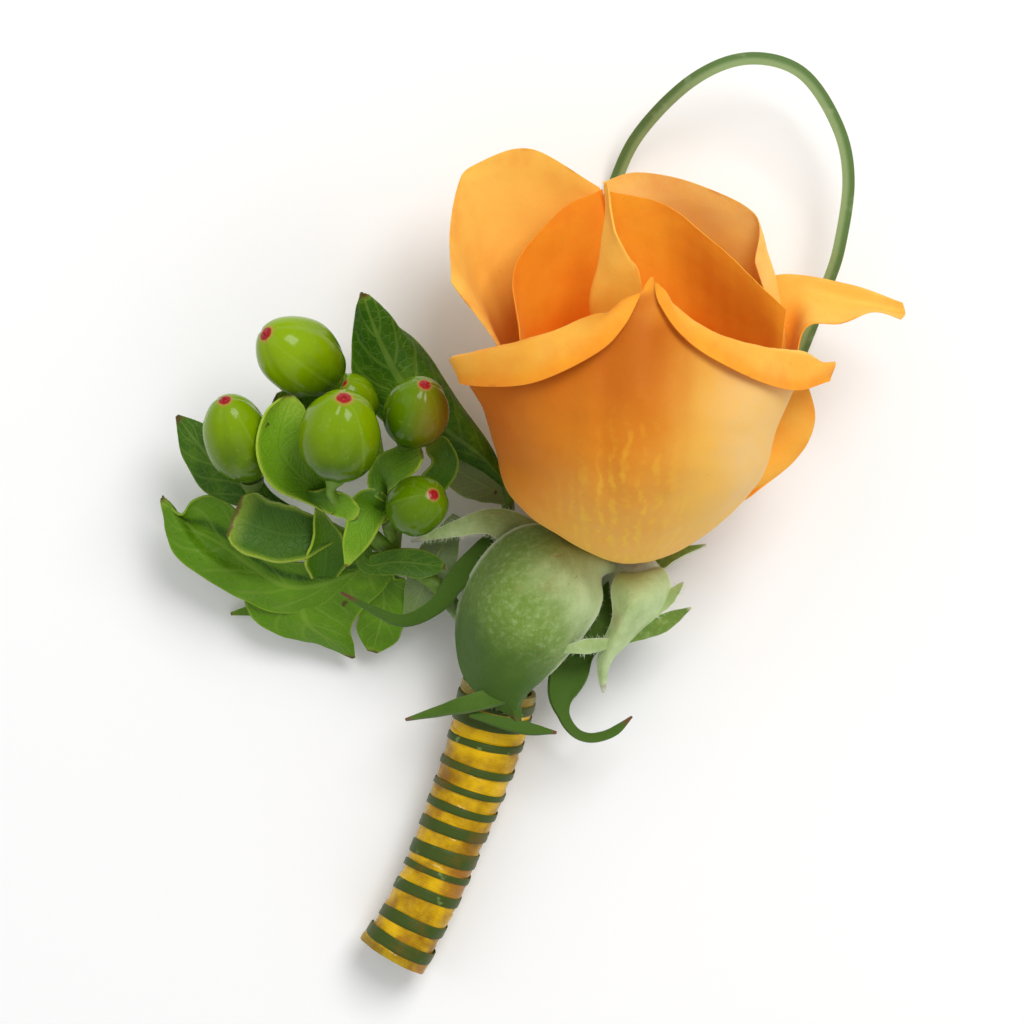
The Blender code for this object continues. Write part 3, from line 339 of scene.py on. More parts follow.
def turned_grid(centre, direction, profile, sides):
    """Rings round an axis. profile holds (place along the axis, radius) pairs."""
    forward = unit(direction)
    helper = (1, 0, 0) if abs(forward[0]) < 0.8 else (0, 1, 0)
    sideways = unit(np.cross(helper, forward))
    upward = np.cross(forward, sideways)
    turn = angles(sides)
    ring = np.cos(turn)[:, None] * sideways + np.sin(turn)[:, None] * upward
    return np.array([np.array(centre) + place * forward + radius * ring for place, radius in profile])


# ------------------------------------------------------------------ finishes

class Shade:
    """A value in a finish. Arithmetic on it adds the Math nodes."""

    def __init__(self, finish, socket):
        self.finish, self.socket = finish, socket

    def __add__(self, other):
        return self.finish.math("ADD", self, other)

    def __sub__(self, other):
        return self.finish.math("SUBTRACT", self, other)

    def __rsub__(self, other):
        return self.finish.math("SUBTRACT", other, self)

    def __mul__(self, other):
        return self.finish.math("MULTIPLY", self, other)

    def __abs__(self):
        return self.finish.math("ABSOLUTE", self)

    __radd__ = __add__
    __rmul__ = __mul__

    def sine(self):
        return self.finish.math("SINE", self)

    def most(self, other):
        return self.finish.math("MAXIMUM", self, other)

    def rise(self, low, high):
        """0 below low, 1 above high, smooth between. With low above high it falls."""
        settings = {"interpolation_type": "SMOOTHSTEP"}
        if low < high:
            return self.finish.node("ShaderNodeMapRange", settings, {"Value": self, 1: low, 2: high})
        return 1 - self.finish.node("ShaderNodeMapRange", settings, {"Value": self, 1: high, 2: low})


class Finish:
    """A material whose look is put together from the values at the mesh's corners and from noise."""

    def __init__(self, name, **constants):
        self.material = bpy.data.materials.new(name)
        self.material.use_nodes = True
        self.tree = self.material.node_tree
        self.shader = self.tree.nodes["Principled BSDF"]
        self.put(**constants)
        self.place = self.node("ShaderNodeTexCoord", output="Object")

    def feed(self, socket, value):
        if isinstance(value, Shade):
            self.tree.links.new(value.socket, socket)
        elif isinstance(value, tuple) and socket.type == "RGBA":
            socket.default_value = (*value[:3], 1.0)
        else:
            socket.default_value = value

    def put(self, **values):
        """Sets or links the surface's own sockets, such as base_color or roughness."""
        for name, value in values.items():
            self.feed(self.shader.inputs[name.replace("_", " ").title().replace("Ior", "IOR")], value)

    def node(self, kind, settings=None, values=None, output=0):
        made = self.tree.nodes.new(kind)
        for name, value in (settings or {}).items():
            setattr(made, name, value)
        for socket, value in (values or {}).items():
            self.feed(made.inputs[socket], value)
        return Shade(self, made.outputs[output])

    def math(self, operation, *values):
        return self.node("ShaderNodeMath", {"operation": operation}, dict(enumerate(values)))

    def corner(self, name):
        """A value that the mesh carries at its corners."""
        return self.node("ShaderNodeAttribute", {"attribute_name": name}, output="Fac")

    def noise(self, per_metre, detail=3.0, roughness=0.55, place=None):
        values = {"Vector": place or self.place, "Scale": per_metre, "Detail": detail, "Roughness": roughness}
        return self.node("ShaderNodeTexNoise", None, values)

    def cells(self, per_metre):
        """The distance to the nearest edge of a net of cells."""
        values = {"Vector": self.place, "Scale": per_metre}
        return self.node("ShaderNodeTexVoronoi", {"feature": "DISTANCE_TO_EDGE"}, values, output="Distance")

    def vector(self, x, y, z):
        return self.node("ShaderNodeCombineXYZ", None, {"X": x, "Y": y, "Z": z})

    def mix(self, share, first, second):
        settings = {"data_type": "RGBA", "clamp_factor": True}
        return self.node("ShaderNodeMix", settings, {0: share, 6: first, 7: second}, output=2)

    def bump(self, height, distance, strength):
        values = {"Height": height, "Distance": distance, "Strength": strength}
        return self.node("ShaderNodeBump", None, values, output="Normal")


def petal_finish(rose):
    """Soft matt petals: a mottled warm ground, painted shade on the front petal, a fan of fine veins, and a
    thin reddish rim.
    """
    finish = Finish("rose_petal", roughness=0.55, subsurface_weight=0.10, subsurface_scale=0.002,
                    subsurface_radius=(1.0, 0.3, 0.05), sheen_weight=0.04, sheen_roughness=0.4,
                    specular_ior_level=0.12)
    tone, rim = finish.corner("tone"), finish.corner("rim")
    across, along = finish.corner("across"), finish.corner("along")
    patches = finish.noise(110, 4)
    mottle = finish.noise(620, 5, 0.65)
    tone = tone + (patches - 0.5) * 0.30 + (mottle - 0.5) * 0.16
    colour = finish.mix(tone.rise(-0.35, 0.05), tuple(rose.peach_colour), tuple(rose.pale_colour))
    colour = finish.mix(tone.rise(0.0, 0.5), colour, tuple(rose.petal_colour))
    colour = finish.mix(tone.rise(0.45, 1.0), colour, tuple(rose.heart_colour))
    # painted shade: the front petal's shade corner value mixes in a tawny colour that stands for shade under
    # its peak and lip
    shade = finish.corner("shade") * (0.8 + patches * 0.4)
    colour = finish.mix(shade, colour, tuple(rose.shade_colour))
    wobble = finish.noise(210, 5, 0.65) * 16
    veins = (across * 105 + wobble).sine() * 0.5 + 0.5
    fan = veins.rise(0.35, 1.0) * finish.noise(330, 4, 0.65).rise(0.38, 0.62) * along.rise(0.04, 0.16)
    fan = fan * (along + abs(across) * 0.5).rise(0.85, 0.35) * abs(across + 0.02).rise(0.5, 0.1)
    colour = finish.mix(fan * 0.62 * tone.rise(0.75, 0.4), colour, tuple(rose.vein_colour))
    blush = rim.rise(0.10, 0.0) * finish.noise(300, 3).rise(0.35, 0.7)
    colour = finish.mix(blush * 0.35, colour, tuple(rose.blush_petal))
    flecks = finish.noise(1400, 2).rise(0.70, 0.76) * patches.rise(0.5, 0.65)
    scorch = rim.rise(0.012, 0.0) * finish.noise(380, 3).rise(0.55, 0.72)
    colour = finish.mix(scorch.most(flecks) * 0.4, colour, tuple(rose.scorch_colour))
    height = veins * 0.22 * along.rise(0.7, 0.3) + mottle * 0.9 + finish.noise(1700, 3) * 0.5
    finish.put(base_color=colour, roughness=0.48 + patches * 0.14, normal=finish.bump(height, 0.0001, 0.5))
    return finish


def downy_finish(rose):
    """The calyx: grey-green and downy, with rosy freckles and brown tips. Its hairs are white."""
    finish = Finish("rose_sepal", roughness=0.62, sheen_weight=0.12, sheen_roughness=0.5,
                    specular_ior_level=0.18, sheen_tint=(0.85, 0.95, 0.8, 1.0))
    tone, rim, along = finish.corner("tone"), finish.corner("rim"), finish.corner("along")
    across = finish.corner("across")
    patches = finish.noise(230, 5, 0.6)
    down = finish.noise(1300, 4, 0.75)
    level = tone + (patches - 0.5) * 0.5
    # on the broad front-left sepal these levels run from painted shade towards its tip and lower left to
    # painted light towards its upper right
    colour = finish.mix(level.rise(0.0, 0.65), tuple(rose.sepal_dark), tuple(rose.sepal_colour))
    colour = finish.mix(level.rise(0.55, 1.3), colour, tuple(rose.sepal_pale))
    colour = finish.mix(down.rise(0.44, 0.72) * 0.22 * tone.rise(0.05, 0.5), colour, tuple(rose.sepal_pale))
    stripes = ((across * 24 + finish.noise(200) * 7).sine() * 0.5 + 0.5) * tone.rise(0.2, 0.6)
    colour = finish.mix(stripes.rise(0.6, 1.0) * 0.05, colour, tuple(rose.sepal_pale))
    freckles = finish.noise(1500, 2).rise(0.60, 0.70) * finish.noise(170, 2).rise(0.5, 0.66)
    colour = finish.mix(freckles * 0.6 * tone.rise(0.2, 0.5), colour, tuple(rose.blush_colour))
    rosy = finish.noise(150, 3).rise(0.58, 0.74) * tone.rise(0.5, 0.9) * tone.rise(1.5, 1.4)
    colour = finish.mix(rosy * 0.32, colour, tuple(rose.blush_colour))
    tip = (along + (finish.noise(500) - 0.5) * 0.1).rise(0.93, 0.975) * tone.rise(1.5, 1.4)
    colour = finish.mix(tip * 0.9, colour, tuple(rose.tip_colour))
    edge = rim.rise(0.10, 0.0) * tone.rise(0.05, 0.4)
    colour = finish.mix(edge * (0.4 + down * 0.6), colour, tuple(rose.hair_colour))
    colour = finish.mix(tone.rise(1.6, 1.9), colour, tuple(rose.hair_colour))
    height = down * 1.2 + finish.noise(2600, 3) * 0.6 + stripes * 0.15
    finish.put(base_color=colour, normal=finish.bump(height, 0.00012, 0.6))
    return finish


def hypericum_finish(leafy):
    """Leaves with a pale net of veins, a yellow-green rim, and brown tips and specks."""
    finish = Finish("hypericum_leaf", roughness=0.42, specular_ior_level=0.2)
    tone, rim = finish.corner("tone"), finish.corner("rim")
    across, along = finish.corner("across"), finish.corner("along")
    side = abs(across)
    patches = finish.noise(220, 3)
    colour = finish.mix(tone.rise(0.0, 1.0), tuple(leafy.leaf_dark), tuple(leafy.leaf_colour))
    colour = finish.mix(tone.rise(1.0, 2.0) * tone.rise(2.6, 2.3), colour, tuple(leafy.leaf_grey))
    colour = finish.mix(patches.rise(0.45, 0.75) * 0.4, colour, tuple(leafy.leaf_light))
    ribs = ((along * 15 - side * 3.2 + finish.noise(180) * 0.9) * math.pi).sine() * 0.5 + 0.5
    ribs = ribs.rise(0.86, 1.0) * side.rise(0.98, 0.75)
    net = finish.cells(950).rise(0.09, 0.0)
    midrib = side.rise(0.10, 0.035)
    lines = (ribs * 0.55).most(net * 0.42).most(midrib * 0.8)
    colour = finish.mix(lines * 0.26, colour, tuple(leafy.vein_colour))
    # Painted shade on the young lobes: darkened at their feet deep among the berries, brightening towards
    # their tips, and lobes with a tone under 3 stay darker.
    colour = finish.mix(tone.rise(2.2, 2.45) * 0.8, colour, tuple(leafy.leaf_dark))
    shaded = along.rise(0.05, 0.75) * (0.55 + patches * 0.5)
    colour = finish.mix(tone.rise(2.5, 3.0) * shaded * 0.85, colour, tuple(leafy.lobe_colour))
    edge = rim.rise(0.05, 0.01) * 0.4 + rim.rise(0.22, 0.02) * tone.rise(2.2, 2.5) * 0.45
    colour = finish.mix(edge * (0.35 + patches * 0.6), colour, tuple(leafy.rim_colour))
    specks = finish.noise(520, 2).rise(0.70, 0.76)
    tip = (along + (finish.noise(300) - 0.5) * 0.12).rise(0.965, 0.995)
    colour = finish.mix(specks.most(tip) * 0.85, colour, tuple(leafy.brown_colour))
    height = 1 - lines * 0.8 + finish.noise(1800) * 0.3
    finish.put(base_color=colour, roughness=0.36 + patches * 0.16, normal=finish.bump(height, 0.00016, 0.7))
    return finish


def twig_finish(leafy):
    finish = Finish("hypericum_twig", roughness=0.5, specular_ior_level=0.4)
    along = finish.noise(320, 4)
    colour = finish.mix(along.rise(0.3, 0.7), tuple(leafy.twig_colour), tuple(leafy.leaf_light))
    colour = finish.mix(finish.noise(900, 3).rise(0.62, 0.72) * 0.5, colour, tuple(leafy.brown_colour))
    cut = finish.corner("along").rise(0.004, 0.0)
    colour = finish.mix(cut, colour, tuple(leafy.vein_colour))
    finish.put(base_color=colour, normal=finish.bump(finish.noise(1500, 4), 0.0001, 0.6))
    return finish


def berry_finish(leafy):
    """Glossy green berries with a red style mark, paler lines between their lobes, and a blush."""
    finish = Finish("hypericum_berry", roughness=0.2, specular_ior_level=0.1, coat_weight=0.22,
                    coat_roughness=0.1, subsurface_weight=0.05, subsurface_scale=0.0015)
    tone, along, rim = finish.corner("tone"), finish.corner("along"), finish.corner("rim")
    across = finish.corner("across")
    patches = finish.noise(230, 3)
    colour = finish.mix((along + (patches - 0.5) * 0.4).rise(0.15, 0.75), tuple(leafy.berry_dark),
                        tuple(leafy.berry_colour))
    colour = finish.mix(finish.corner("shade") * 0.85, colour, tuple(leafy.berry_deep))
    seam = abs((across * math.pi * 1.5 + 0.6).sine()).rise(0.13, 0.0)
    colour = finish.mix(seam * 0.10, colour, tuple(leafy.berry_light))
    colour = finish.mix(finish.noise(1700, 2).rise(0.6, 0.72) * 0.12, colour, tuple(leafy.berry_light))
    colour = finish.mix(tone * (0.35 + patches * 0.5), colour, tuple(leafy.blush_colour))
    halo = (rim + (finish.noise(700) - 0.5) * 0.012).rise(0.975, 0.989)
    colour = finish.mix(halo * 0.4, colour, tuple(leafy.halo_colour))
    mark = (rim + (finish.noise(1300) - 0.5) * 0.008).rise(0.988, 0.993)
    colour = finish.mix(mark, colour, tuple(leafy.style_colour))
    height = finish.noise(380, 3) + seam * -0.4
    finish.put(base_color=colour, roughness=0.15 + patches * 0.1, normal=finish.bump(height, 0.00012, 0.35))
    return finish


def grass_finish(grass):
    """A ribbed blade, painted lighter along its lit half and darker along its shaded half, and worn pale
    along its keel.
    """
    finish = Finish("bear_grass", roughness=0.42, specular_ior_level=0.2)
    across, along, tone = finish.corner("across"), finish.corner("along"), finish.corner("tone")
    drift = finish.noise(60, 3)
    halves = (across + (drift - 0.5) * 0.8).rise(-0.35, 0.45)
    colour = finish.mix(halves, tuple(grass.dark_colour), tuple(grass.light_colour))
    ribs = ((across * 34).sine() * 0.5 + 0.5) * (1 - tone * 0.7)
    colour = finish.mix(ribs * 0.22, colour, tuple(grass.pale_colour))
    colour = finish.mix(finish.noise(500, 3).rise(0.55, 0.8) * 0.4, colour, tuple(grass.pale_colour))
    colour = finish.mix(tone, colour, tuple(grass.winding_colour))
    worn = finish.noise(210, 4, 0.6)
    colour = finish.mix(worn.rise(0.5, 0.72) * tone * 0.6, colour, tuple(grass.worn_colour))
    # painted highlight: pale patches where the film over the winding gleams
    gleam = finish.noise(600, 3).rise(0.60, 0.72) * worn.rise(0.5, 0.4) * tone
    colour = finish.mix(gleam * 0.55, colour, tuple(grass.gleam_colour))
    finish.put(base_color=colour, normal=finish.bump(ribs * 0.6 + finish.noise(900) * 0.5, 0.00012, 0.7))
    return finish


def ribbon_finish(handle):
    """Yellow ribbon under clear film: fine threads, creases, and a sharp gloss over all of it."""
    finish = Finish("wound_ribbon", roughness=0.4, specular_ior_level=0.08, coat_weight=0.3,
                    coat_roughness=0.08)
    along, across, tone = finish.corner("along"), finish.corner("across"), finish.corner("tone")
    patches = finish.noise(210, 4, 0.6)
    colour = finish.mix(patches.rise(0.3, 0.75), tuple(handle.ribbon_colour), tuple(handle.shadow_colour))
    colour = finish.mix(tone.rise(0.0, 1.0) * 0.65, colour, tuple(handle.green_colour))
    stain = finish.noise(190, 3).rise(0.56, 0.70)
    colour = finish.mix(stain * 0.7, colour, tuple(handle.stain_colour))
    threads = (along * 700 + finish.noise(300) * 3).sine() * 0.5 + 0.5
    creases = finish.noise(420, 5, 0.65, finish.vector(across * 0.004, along * 0.03, 0.0))
    # painted shade in the ribbon's creases
    colour = finish.mix(creases.rise(0.52, 0.68) * 0.25, colour, tuple(handle.shadow_colour))
    height = creases * 1.6 + threads * 0.12 + finish.noise(700, 4) * 0.5
    finish.put(base_color=colour, normal=finish.bump(height, 0.00028, 0.55))
    return finish


# ------------------------------------------------------------------ the rose's bloom

# each petal's ribs, side by side from one edge to the other, and each rib's points from foot to rim
PETAL_RIBS = {
    "front": dict(across=130, along=110, ribs=[
        [(9, 0, 9), (0, 6, 13), (-4, 12, 18), (-5.5, 16, 22), (-8.2, 19, 25), (-8.4, 18, 28)],
        [(9, -2.5, 11), (-1.8, 3.2, 22), (-4, 9.1, 26), (-5.8, 14.5, 29), (-9, 19.6, 31), (-7.9, 16.4, 33)],
        [(10, -3.5, 12), (2.1, .1, 25.5), (.2, 6.2, 33.5), (-1, 13.5, 37.5), (-1.4, 20.9, 39.5),
         (-.6, 16.2, 41.5)],
        [(11.5, -3.8, 12), (6.6, -2.2, 26), (5.4, 4.2, 37.5), (5, 13, 41.5), (5.8, 23.4, 42.5),
         (6.4, 19.2, 44.3)],
        [(12, -3.8, 12), (9, -2.9, 26.5), (8.2, 4, 38.3), (7.9, 13, 42.3), (9.2, 24.7, 42.6),
         (9.9, 22.6, 43.9)],
        [(12.5, -3.8, 12), (11, -3, 26.5), (10.7, 4, 39), (10.6, 13, 43), (12, 22.5, 43), (12.9, 28, 41)],
        [(13, -3.8, 12), (12.8, -2.8, 26.5), (13.4, 4.2, 38.5), (13.8, 13, 42.5), (14.2, 26.2, 42),
         (13.7, 25, 43)],
        [(13.5, -3.8, 12), (15, -2.4, 25.5), (16.2, 4.2, 37.5), (16.8, 12.5, 41.5), (16.6, 23.6, 40.7),
         (16.8, 21, 42.3)],
        [(14.5, -3.5, 12), (18.8, -1.2, 22), (22.2, 4.2, 32), (23.5, 12, 36.5), (23.7, 20.8, 37),
         (23.1, 17.4, 39)],
        [(15.5, -3, 11), (21.8, 1, 18), (26.5, 6.5, 23), (28.2, 13, 27.5), (30.4, 20.3, 30.5),
         (29.4, 15.8, 32.5)],
        [(15.8, -.8, 9), (21.5, 2.5, 13), (25, 8, 16), (26.5, 13, 21), (34.2, 19.2, 26.5), (34, 17, 27.5)]]),
    "right_low": dict(across=40, along=30, ribs=[
        [(14, -2.6, 11), (19, 0, 17), (25.4, 3.9, 20)],
        [(15, -1.6, 12), (22, 3, 20), (30.8, 8.2, 20)],
        [(15, 0, 12), (24, 8, 20), (32.8, 12.7, 22)],
        [(15, 1, 11), (23, 13, 21), (31.6, 17.5, 24)]]),
    "far_right": dict(across=36, along=80, ribs=[
        [(17, 0, 10), (27, 9, 17), (30, 17.5, 22), (31.6, 23.4, 23.5), (35.8, 24, 22.5), (39.6, 25.4, 21),
         (43.2, 24.6, 19)],
        [(17, 0.5, 9), (27.5, 12, 13), (29.5, 20, 16.5), (31.5, 26.5, 18), (36.5, 26.6, 17.5),
         (43.9, 25.4, 17)],
        [(16.5, 1, 9), (25, 14, 11), (25.5, 25, 14), (28.5, 29.9, 16.5), (37, 28.9, 17.5),
         (43.6, 26.7, 17)]]),
    "back_right": dict(across=48, along=50, ribs=[
        [(14, 0, 8), (17, 14, 9), (13, 30, 13), (8.2, 40.9, 17)],
        [(15, 0, 7.5), (21, 14, 8), (20, 30, 12), (12.4, 42, 17)],
        [(16, 0, 8), (24, 13, 9), (26, 27, 13), (19.6, 40.5, 18)],
        [(17, 0, 9), (27, 11, 11), (30, 23, 14), (26, 36.9, 19)],
        [(17, -1, 10), (28, 9, 13), (30, 18, 17), (26, 31.2, 20)]]),
    "back_left": dict(across=60, along=54, ribs=[
        [(13, 0, 8.2), (15, 14, 11.4), (13, 28, 14), (7.8, 40.2, 18)],
        [(11, 0, 7.8), (9, 15, 10), (5, 30, 13), (-.4, 44.5, 20)],
        [(9.5, 0, 8), (3, 14, 11), (-2, 28, 15), (-7, 42.5, 21)],
        [(9, 0, 9), (2, 13, 13), (-4, 26, 17), (-8.8, 39.8, 22.5)],
        [(8.5, 0, 9.5), (0, 12, 15), (-5, 24, 19), (-9.7, 34.5, 24.5)],
        [(8.5, -1, 11), (-.5, 9, 21), (-3.2, 19.5, 27), (-9.4, 28.4, 28)]]),
    "inner_left": dict(across=48, along=44, ribs=[
        [(13, 0, 10), (14, 14, 13), (11, 28, 16.5), (8, 39.8, 20)],
        [(11, 0, 10), (8, 13, 13), (5, 25, 17), (3, 36.9, 23)],
        [(10, 0, 11), (3, 11, 16), (0, 19, 21), (-2.1, 30.1, 26.5)],
        [(10, -1, 12), (2, 8, 22), (0, 13, 27), (-1.6, 22.1, 31)]]),
    "inner_middle": dict(across=24, along=60, ribs=[
        [(12, -.5, 10.5), (9, 14, 20), (6.5, 25, 25), (7.5, 31, 25.5), (8.2, 36, 25), (8.1, 39.8, 24.5)],
        [(13, -.5, 11), (11, 14, 22), (9.5, 25.5, 27.5), (9, 31, 27.5), (8.7, 36, 26), (8.3, 40, 24.8)],
        [(14, -.5, 10.5), (13.5, 14, 23), (12.3, 27.8, 30), (10.6, 31.5, 29), (9.1, 35, 27.5),
         (8.5, 40.1, 25)]]),
    "inner_right": dict(across=56, along=44, ribs=[
        [(13, 0, 10), (13, 14, 14), (10.8, 28, 18), (8.2, 39.6, 21)],
        [(14.5, 0, 10), (19, 14, 13), (18, 26, 17), (15.1, 37.8, 22)],
        [(15.5, 0, 11), (23, 12, 14.5), (23.5, 22, 18.5), (21.3, 32.9, 24)],
        [(16, 0, 11.5), (25, 10, 17), (27, 18, 21), (26.4, 27.9, 26)],
        [(16, 0, 12), (26, 8, 20), (28, 15, 24), (29.1, 25.3, 27)]]),
}
# petals that the others hide, which curve out from the rose's axis
HIDDEN_PETALS = {
    "back_low": dict(azimuth=195, spread=50, foot=2.4, rim=((-1, 33), (0, 37), (1, 33)),
                     lean=((0, 68), (9, 50), (18, 22), (27, 14), (36, 22))),
    "left_low": dict(azimuth=-90, spread=50, foot=2.2, rim=((-1, 22), (0, 24), (1, 22)),
                     lean=((0, 66), (9, 46), (18, 19), (27, 9), (36, 6))),
}
BUD_PETALS = 6
BUD_TURN = 137.5             # degrees from one petal of the bud to the next
# how deep a petal's colour is at its foot and at its rim, from 0, pale, to 1, the heart's orange
PETAL_TONES = {"front": (0.12, 0.30), "right_low": (0.25, 0.25), "far_right": (0.4, 0.1),
               "back_right": (0.2, -0.1), "back_left": (0.25, 0.08), "inner_left": (1.15, 0.62),
               "inner_middle": (0.6, 0.15), "inner_right": (1.1, 0.45), "back_low": (0.4, 0.3),
               "left_low": (0.4, 0.3)}


def bud_petal(i):
    """The petals of the bud close over each other, each shorter than the one round it."""
    return dict(azimuth=20 + BUD_TURN * i, spread=85, foot=1.2, across=40, along=36, ragged=0.2,
                rim=((-1, 21 - i), (0, 27.5 - 1.2 * i), (1, 21 - i)),
                lean=((0, 58 - 4 * i), (9, 34 - 5 * i), (18, 4), (27, -22)))


def petal_tone(name, grid):
    """The depth of a petal's colour over its grid."""
    u, v = across_and_along(grid)
    foot, rim = PETAL_TONES.get(name, (1.3, 1.0))
    tone = foot + (rim - foot) * eased((v - 0.25) / 0.7)
    # On the front petal the upper middle and the left cheek are deepened, painted shade under the peak and
    # under the rolled lip; the right side is paler towards peach.
    if name == "front":
        lip = eased((v - 0.87) / 0.05) * (1 - 0.8 * np.exp(-(u / 0.12) ** 2))
        high = eased((v - 0.42) / 0.34) * eased((0.42 - u) / 0.5)
        left = eased((-0.15 - u) / 0.5) * eased((v - 0.2) / 0.3)
        right = eased((u - 0.1) / 0.4) * eased((v - 0.2) / 0.3)
        tone = 0.18 + (0.30 * high + 0.25 * left - 0.34 * right) * (1 - lip)
        tone = tone + lip * (0.10 - 0.06 * u + 0.25 * eased((v - 0.96) / 0.04))
    return tone + 0 * u


def front_shade(grid):
    """How much painted shade the front petal gets: in the crease under its peak, on its left cheek under the
    rolled lip and over its middle, but not on its lip.
    """
    u, v = across_and_along(grid)
    peak = np.exp(-(u / 0.15) ** 2)
    lip = eased((v - 0.87) / 0.05) * (1 - peak * eased((0.98 - v) / 0.03))
    crease = eased((v - 0.50) / 0.4) * np.exp(-((u - 0.02) / 0.34) ** 2)
    cheek = eased((-0.05 - u) / 0.6) * eased((v - 0.28) / 0.4)
    middle = eased((v - 0.25) / 0.35) * eased((0.55 - u) / 0.6)
    return np.clip(0.66 * crease + 0.36 * cheek + 0.40 * middle, 0, 0.92) * (1 - lip)


def build_bloom(rose):
    weaver = Weaver()
    grids = {name: ribbed_grid(**petal, seed=7 * i + 3) for i, (name, petal) in enumerate(PETAL_RIBS.items())}
    turned = HIDDEN_PETALS | {f"bud_{i}": bud_petal(i) for i in range(BUD_PETALS)}
    grids |= {name: petal_grid(**petal, seed=7 * i + 90) for i, (name, petal) in enumerate(turned.items())}
    for name, grid in grids.items():
        u, v = across_and_along(grid)
        edge = np.minimum((1 - np.abs(u)) * 0.5, 1 - v)
        thickness = rose.petal_thickness / MM * (1.5 - 0.8 * v) * (0.45 + 0.55 * eased(edge / 0.05))
        shade = front_shade(grid) if name == "front" else 0.0
        weaver.sheet(grid, thickness, petal_tone(name, grid), rim=edge, shade=shade)
    profile = [(-0.5, 0.5), (-0.4, 1.8), (0.6, 3.0), (2.0, 4.4), (3.2, 4.8), (4.2, 4.0), (4.8, 1.0)]
    weaver.rings(turned_grid(ROSE_FOOT, rose_frame()[2], profile, 24), 0.9, 1.0)
    weaver.make("rose_bloom", petal_finish(rose), "rose_bloom", "rose_petals")


# ------------------------------------------------------------------ the handle

HANDLE_SPINE = [(-17.0, -52.0, 4.9), (-14.2, -47.0, 4.9), (-11.8, -42.0, 4.9), (-9.6, -36.5, 5.1),
                (-6.6, -28.5, 5.8), (-5.0, -23.0, 6.6), (-4.0, -19.0, 7.4)]
RIBBON_RADIUS = 3.95
RIBBON_WALL = 0.55
RIBBON_FLARE = 0.5
RIBBON_SWELL = 0.65          # how much is added to the handle's radius at the flower
WINDING_STEP = 0.1           # how far each turn lies square to the handle on top and climbs underneath
WINDING_PLACES = 200         # places along the handle that the winding is drawn between
WINDING_LIFT = 0.1           # from the handle's radius to the line that the blade's section is drawn on
WINDING_TAIL = 3             # how many tenths of a turn the blade goes on at either end
# the blade's section: (place across as a share of its width, height over that line) pairs
BLADE_SECTION = [(-0.5, 0), (-0.46, 0.06), (-0.25, 0.09), (0, 0.07), (0.25, 0.09), (0.46, 0.06), (0.5, 0),
                 (0.25, -0.1), (-0.25, -0.1)]
# how far down the handle from the flower the winding crosses its upper side, and how wide it is there
WINDING_TURNS = [(0.05, 1.2), (0.11, 1.7), (0.20, 0.9), (0.29, 1.0), (0.37, 0.8), (0.435, 1.0), (0.51, 1.4),
                 (0.60, 1.8), (0.67, 0.8), (0.75, 1.4), (0.86, 1.5), (0.95, 1.6)]
ROSE_STEM_PLACE = (1.2, 0.0)
SPRAY_STEM_PLACE = (-1.95, 0.0)
GRASS_PLACES = [(-0.95, 1.9), (-0.95, -1.9)]


def handle_frames(steps):
    """The handle's middle line with its forward, sideways and upward directions."""
    path = smooth_path(HANDLE_SPINE, steps)
    return path, *frames_along(path, (0, 0, 1))


def in_handle(place, steps=10):
    """A stem's path inside the handle, from its cut end to the flower."""
    path, _, sideways, upward = handle_frames(steps)
    return path + place[0] * sideways + place[1] * upward


def handle_radius(share):
    """The ribbon's radius this share of the way from the cut end to the flower."""
    return RIBBON_RADIUS + RIBBON_FLARE * eased(1 - share * 9) + RIBBON_SWELL * eased((share - 0.3) / 0.7)


def build_ribbon(handle):
    """The ribbon's overlapping turns, as one tube whose wall steps down at each turn's edge."""
    rows, sides = 260, 72
    path, _, sideways, upward = handle_frames(rows)
    share = np.linspace(0, 1, rows + 1)[:, None]
    turn = angles(sides)[None]
    phase = share * handle.ribbon_turns - turn / (2 * math.pi)
    step = phase - np.floor(phase)
    ring = np.cos(turn)[..., None] * sideways[:, None] + np.sin(turn)[..., None] * upward[:, None]
    radius = handle_radius(share) - 0.10 + 0.16 * step * eased((1 - step) / 0.06)
    outside = path[:, None] + radius[..., None] * ring
    radius = radius + 0.06 * wander(outside, 4.0, 5) + 0.025 * wander(outside, 1.5, 6)
    radius = radius + 0.35 * eased(1 - share * 22) * wander(outside, 5.0, 8)
    outside = path[:, None] + radius[..., None] * ring
    inside = path[:, None] + (handle_radius(share) - RIBBON_WALL)[..., None] * ring
    grid = np.concatenate([outside, inside[::-1]])
    weaver = Weaver()
    # The outer face turns green at the cut end, where the stems show through, and at the flower end, painted
    # shade under the sepals; the inner face is greener still.
    outer_tone = 0.55 * eased(1 - share * 14) + 0.9 * eased((share - 0.93) / 0.05) + 0 * turn
    tone = np.concatenate([outer_tone, 1.0 + 0 * turn + 0 * share])
    rows = len(grid)
    index = np.arange(rows * sides).reshape(rows, sides)
    follow = np.roll(index, -1, 1)
    below = np.roll(index, -1, 0)
    below_follow = np.roll(follow, -1, 0)
    faces = np.stack([index, follow, below_follow, below], -1).reshape(-1, 4)
    along = np.concatenate([share, share[::-1]]) + 0 * turn
    around = np.linspace(-1, 1, sides, endpoint=False)[None] + 0 * along
    weaver.add(grid, faces, along=along.ravel(), across=around.ravel(), tone=tone.ravel())
    weaver.make("ribbon_and_film", ribbon_finish(handle), "ribbon", "ribbon_wrap")


